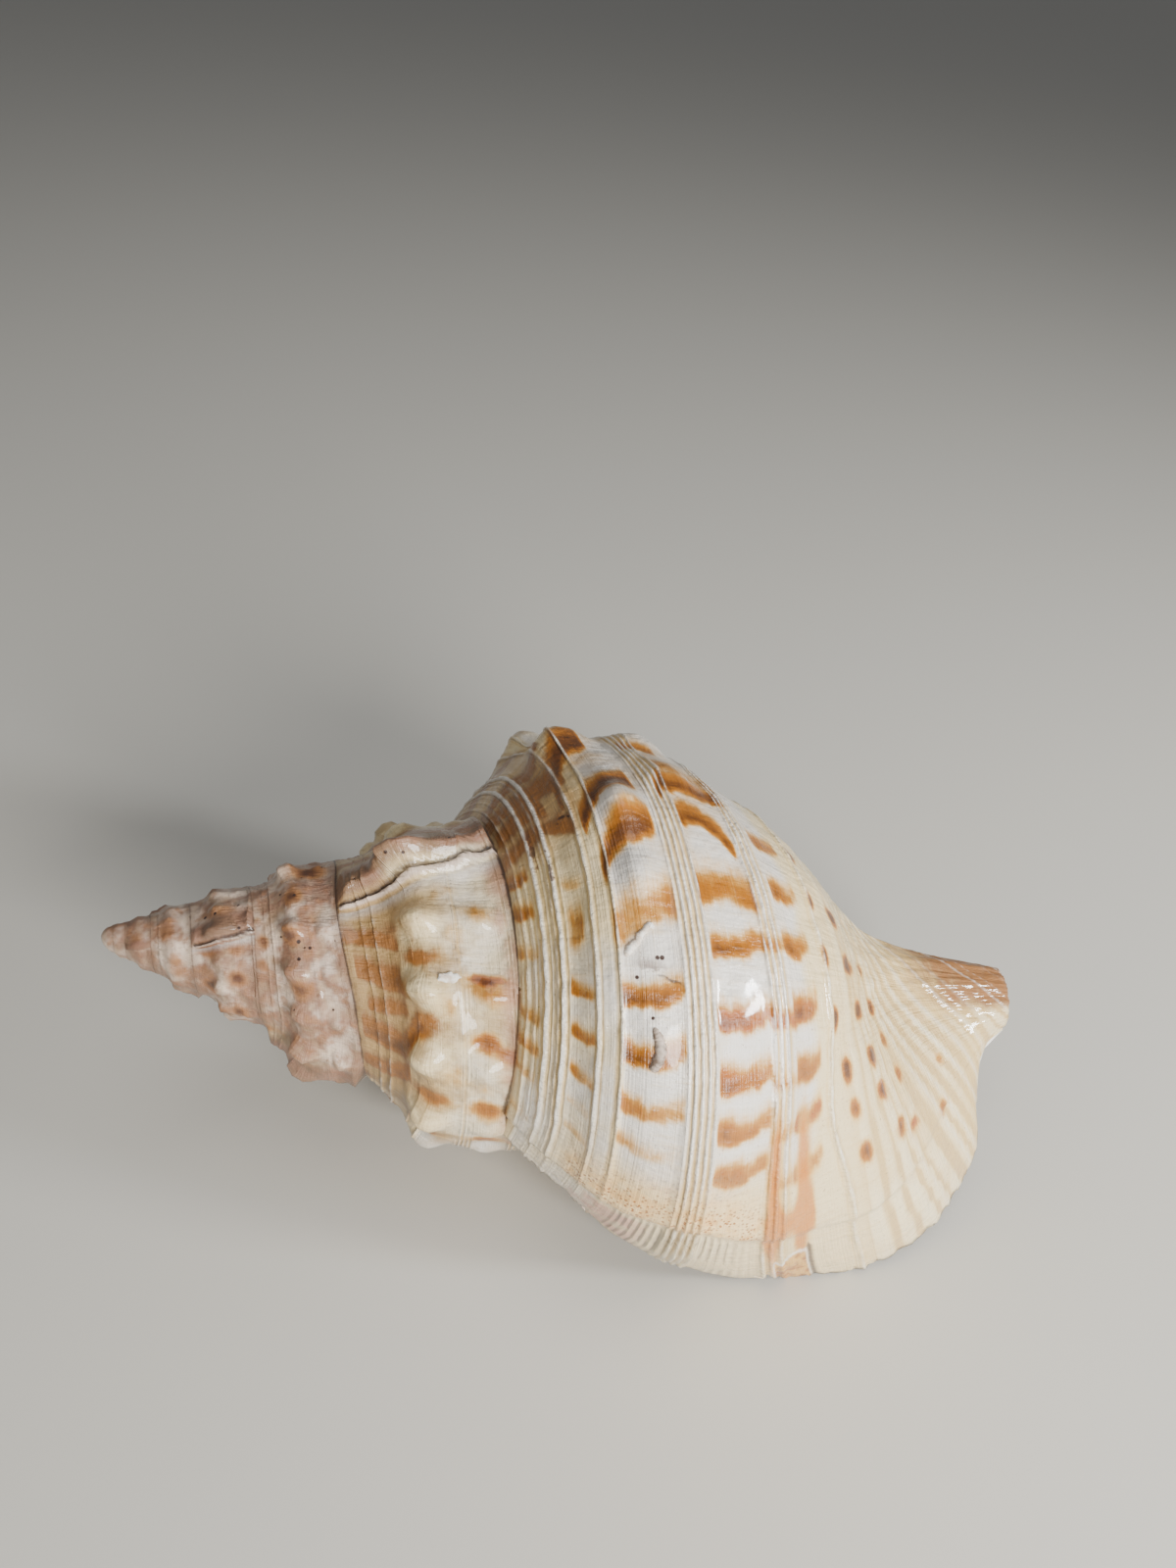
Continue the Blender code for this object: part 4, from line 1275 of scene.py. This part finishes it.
def lay_ground(n, g, fan_cord):
    """The ground between the marks: cream or bluish, tanned, with dirt and painted shade between the
    knobs.
    """
    coolness = n.stir(n.amount("cool"), g.soft, 1.2)
    n.colour = n.mix(n.ramp(coolness, 0.1, 0.65), CREAM, BLUE_WHITE)
    n.lay_where(BUFF, n.add(n.amount("groove"), n.times(g.cloudy, 0.6)), 0.4, 1.3, 0.85)
    tanned_and_shaded = n.stir(n.amount("tan_and_valley_shade"), g.cloudy, 1.6)
    # tan and painted shade together: the deeper tan also darkens the valleys between the knobs
    n.lay_where(TAN, tanned_and_shaded, 0.25, 1.1, 0.95)
    n.lay_where(TAN_DEEP, tanned_and_shaded, 0.95, 1.6, 0.85)
    caked = n.add(n.times(g.cloudy, 0.6), n.times(g.fine, 0.5))
    # dirt in patches, strongest in the valleys between the knobs, where it is painted shade
    n.lay(KNOB_DIRT_AND_SHADE, n.times(n.amount("dirt_and_valley_shade"), n.ramp(caked, 0.50, 0.66)))
    n.lay_where(BUFF, g.lines, 0.52, 0.72, 0.22)
    n.lay_where(BUFF, g.threads, 0.56, 0.74, 0.16)
    n.lay(BUFF, n.ramp(fan_cord, -0.15, 0.15, 0.75, 0))
    n.lay(TAN, n.ramp(fan_cord, -0.15, 0.0, 0.35, 0))
    warm = n.times(n.amount("warm"), n.ramp(g.soft, 0.35, 0.62, 0.25, 1))
    n.lay(BUFF, n.times(warm, 0.75))


def lay_marks(n, g, brown, crest, fan_cord):
    """Brown marks, washed out at their edges, and the cords' pale crests over them."""
    redder = n.ramp(n.stir(n.amount("redness"), g.cloudy, 1.0), 0.45, 1.3)
    washed_out = n.mix(n.ramp(n.amount("tan_and_valley_shade"), 0.3, 1.0), AMBER, MARK_TAN)
    mark = n.mix(n.ramp(brown, 0.25, 0.80), washed_out, n.mix(redder, OCHRE, RED_BROWN))
    mark = n.mix(n.ramp(brown, 0.72, 1.30), mark, n.mix(redder, DEEP_BROWN, DEEP_RED))
    mark = n.mix(n.ramp(n.amount("tan_and_valley_shade"), 0.4, 1.1, 0, 0.55), mark, MARK_TAN)
    n.lay(mark, n.times(n.ramp(brown, 0.05, 0.60), n.ramp(crest, 0.3, 0.9, 1.0, 0.5)))
    n.lay_where(WHITE, crest, 0.40, 0.95, 0.72)
    n.lay_where(WHITE, fan_cord, 0.25, 0.8, 0.35)


def lay_lip(n, g, pleat, pleats):
    """Peach behind the rest line, pleats and a pink fold past it, and the orange stripes across it."""
    peach = n.mix(n.ramp(g.fine, 0.4, 0.6), PEACH_DEEP, PEACH)
    peach = n.mix(n.pit_holes(780, 0.30), peach, OCHRE)
    n.lay(peach, n.times(n.amount("peach"), n.ramp(g.cloudy, 0.35, 0.65, 0.75, 1), clamp=True))
    shaded = n.mix(n.ramp(pleats, -0.9, 0.6), FOLD_SHADE, CREAM)
    n.lay(shaded, n.times(pleat, n.ramp(g.cloudy, 0.35, 0.65, 0.2, 0.65)))
    n.lay_where(FOLD_PINK, n.times(n.amount("fold"), n.ramp(g.cloudy, 0.3, 0.6)), 0, 1, 0.8)
    stripe = n.stir(n.amount("stripe"), g.cloudy, 0.7)
    n.lay_where(n.mix(n.ramp(stripe, 0.3, 1.1), AMBER, ORANGE), stripe, 0.15, 0.85, 0.9)


def lay_spire(n, g, brown, spire):
    """The worn spire, its ribs and the pearly bands in front of them."""
    knobs = n.mix(n.ramp(g.cloudy, 0.44, 0.62), SPIRE_PINK, SPIRE_PALE)
    knobs = n.mix(n.ramp(g.fine, 0.52, 0.66, 0, 0.6), knobs, SPIRE_OCHRE)
    patchy = n.stir(n.stir(brown, g.cloudy, 1.3), g.soft, 0.9)
    knobs = n.mix(n.ramp(patchy, 0.1, 0.8, 0, 0.9), knobs, SPIRE_OCHRE)
    knobs = n.mix(n.ramp(patchy, 0.6, 1.3), knobs, SPIRE_BROWN)
    n.lay(knobs, n.times(spire, n.ramp(g.fine, 0.3, 0.6, 0.75, 0.95)))
    rib = n.mix(n.ramp(g.cloudy, 0.4, 0.6), RIB_BROWN, SPIRE_PINK)
    n.lay_where(rib, n.amount("rib"), 0.3, 0.8, 0.9)
    n.lay_where(PEARL, n.amount("pearly"), 0.2, 0.9, 0.7)


def lay_wear(n, g, pits):
    """Worn glaze, specks, pits, a dark line along each suture with painted shade in a grey band beside it,
    the thin ridges, the tooth, cracks and bores.
    """
    n.lay_where(SPIRE_BROWN, n.times(n.amount("worn"), n.ramp(g.fine, 0.42, 0.58)), 0.2, 0.6, 0.8)
    n.lay_where(GREY_DIRT_AND_SHADE, g.specks, 0.64, 0.73, 0.45)
    n.lay(DARK, pits)
    suture = n.stir(n.amount("suture_mm"), g.fine, 1.2)
    # painted shade: a grey band along each suture's crease; the dark line below is the suture itself
    n.lay(GREY_DIRT_AND_SHADE, n.ramp(suture, 0.3, 3.0, 0.45, 0))
    n.lay(DARK, n.ramp(suture, 0.1, 0.8, 0.85, 0))
    n.lay_where(SPIRE_PALE, n.amount("ridge"), 0.3, 0.8, 0.85)
    tooth = n.amount("tooth")
    n.lay_where(WHITE, tooth, 0.05, 0.35, 0.6)
    n.lay_where(n.mix(n.ramp(g.fine, 0.4, 0.6), OCHRE, AMBER), tooth, 0.4, 0.85)
    crack = n.times(n.amount("crack"), n.ramp(g.cloudy, 0.3, 0.5, 0.8, 1))
    n.lay_where(DARK, crack, 0.35, 0.85, 0.85)
    for turn, band, radius in HOLES:
        n.lay(DARK, n.near(tuple(map(float, on_shell(turn, band))), HOLE_RIM * radius * MM))


def shell_bumps(n, g, lip, pleats, pleat, crest, pits):
    """Relief too fine for the mesh: distance and strength of each layer, the first one lowest."""
    surface = None
    for height, distance, strength in (
        (n.times(g.cloudy, n.ramp(lip, 130, 200)), 0.004, 0.4),
        (g.lines, 0.0008, 0.6),
        (g.threads, 0.0007, 0.5),
        (n.times(pleats, n.times(pleat, n.ramp(g.cloudy, 0.35, 0.6))), 0.0008, 0.6),
        (n.times(g.beads, n.ramp(crest, 0.2, 0.7)), 0.0010, 0.7),
        (n.math("SUBTRACT", g.fine, n.times(pits, 1.5)), 0.0010, 0.6),
    ):
        surface = n.raised(height, distance, strength, surface)
    return surface


def shell_finish():
    n = Nodes("shell_finish")
    g = shell_grain(n)
    crest, fan_cord, spire = n.amount("crest"), n.amount("fan"), n.amount("spire")
    uneven = n.times(n.math("SUBTRACT", g.fine, 0.5), 0.5)
    uneven = n.stir(n.stir(uneven, g.threads, 0.3), g.cloudy, 0.5)
    brown = n.amount("brown")
    brown = n.add(brown, n.times(uneven, n.ramp(brown, 0.0, 0.4, 0.15, 1)))
    pleat = n.amount("pleat")
    pleats = n.waves(PUCKER_STEP, n.times(g.soft, 7.0))
    pits = n.times(n.pit_holes(230, 0.075), n.ramp(n.amount("pits"), 0.35, 0.6))
    lay_ground(n, g, fan_cord)
    lay_marks(n, g, brown, crest, fan_cord)
    lay_lip(n, g, pleat, pleats)
    lay_spire(n, g, brown, spire)
    lay_wear(n, g, pits)
    lip = n.amount("lip_mm")
    n.lay(n.mix(n.ramp(lip, 4, 40), WHITE, MOUTH), n.amount("inside"))
    dull = n.add(n.times(spire, 0.25), n.times(n.amount("worn"), 0.3))
    dull = n.add(dull, n.times(n.amount("tan_and_valley_shade"), 0.15))
    dull = n.add(dull, n.ramp(n.amount("warm"), 0.8, 1.1, 0, 0.15))
    return n.finish(
        roughness=n.add(n.ramp(g.soft, 0.35, 0.65, 0.20, 0.36), dull, clamp=True),
        coat_weight=0.55,
        coat_roughness=0.08,
        normal=shell_bumps(n, g, lip, pleats, pleat, crest, pits),
    )


def lime_finish(name, light, dark):
    n = Nodes(name)
    n.colour = n.mix(n.ramp(n.noise(n.place, 500, 4), 0.35, 0.6), dark, light)
    return n.finish(roughness=0.6, normal=n.raised(n.noise(n.place, 900), 0.0006, 0.6))


def floor_finish():
    n = Nodes("floor_finish")
    n.colour = FLOOR_WHITE
    return n.finish(roughness=0.6)


# ---- Floor, light and camera ----

FLOOR_WIDTH = 60  # metres
# Lamps: name, place, what they point at, width, power, tint
LAMPS = (
    ("window", (0.40, -0.90, 0.50), (0, 0, 0.05), 0.50, 20.5, (1.0, 0.99, 0.97)),
    ("side window", (0.88, -0.36, 0.46), (0, 0, 0.06), 0.15, 8, (0.95, 0.975, 1.0)),
    ("above", (0.0, -0.05, 1.3), (0, 0, 0), 0.8, 4.5, (0.95, 0.97, 1.0)),
)
ROOM_TINT = (0.92, 0.95, 1.0, 1)
ROOM_LIGHT = 0.175
CAMERA_AT = (-0.04926, -0.21831, 0.32786)
CAMERA_TURN = (49.6132, -4.5542, -7.1115)  # degrees
CAMERA_LENS = 25.99  # millimetres
CAMERA_SENSOR = 36


def make_floor():
    bpy.ops.object.select_all(action="DESELECT")
    bpy.ops.mesh.primitive_plane_add(size=FLOOR_WIDTH, location=(0, 0, 0))
    floor = bpy.context.object
    floor.name = "floor"
    floor.data.materials.append(floor_finish())


def make_lights():
    for name, place, target, width, power, tint in LAMPS:
        light = bpy.data.lights.new(name, "AREA")
        light.shape = "DISK"
        light.size = width
        light.energy = power
        light.color = tint
        lamp = bpy.data.objects.new(name, light)
        lamp.location = place
        lamp.rotation_euler = (Vector(target) - Vector(place)).to_track_quat("-Z", "Y").to_euler()
        bpy.context.scene.collection.objects.link(lamp)
    world = bpy.data.worlds.new("room")
    world.use_nodes = True
    sky = world.node_tree.nodes["Background"]
    sky.inputs["Color"].default_value = ROOM_TINT
    sky.inputs["Strength"].default_value = ROOM_LIGHT
    bpy.context.scene.world = world


def make_camera():
    camera = bpy.data.cameras.new("camera")
    camera.lens = CAMERA_LENS
    camera.sensor_width = CAMERA_SENSOR
    camera.clip_start = 0.01
    eye = bpy.data.objects.new("camera", camera)
    eye.location = CAMERA_AT
    eye.rotation_euler = [math.radians(a) for a in CAMERA_TURN]
    bpy.context.scene.collection.objects.link(eye)
    bpy.context.scene.camera = eye


shell = make_shell()
shell.data.materials.append(shell_finish())
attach(shell, "root")
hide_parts("triton_shell")
growths = (
    (make_tube("worm_tube", WORM_TUBE), lime_finish("tube_finish", TUBE_GREY, TUBE_SHADE)),
    (make_tube("lime_thread", LIME_THREAD), lime_finish("thread_finish", WHITE, THREAD_SHADE)),
    (make_patch("lime_patch"), lime_finish("patch_finish", WHITE, THREAD_SHADE)),
)
for piece, finish in growths:
    piece.data.materials.append(finish)
    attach(piece, "root")
make_floor()
make_lights()
make_camera()
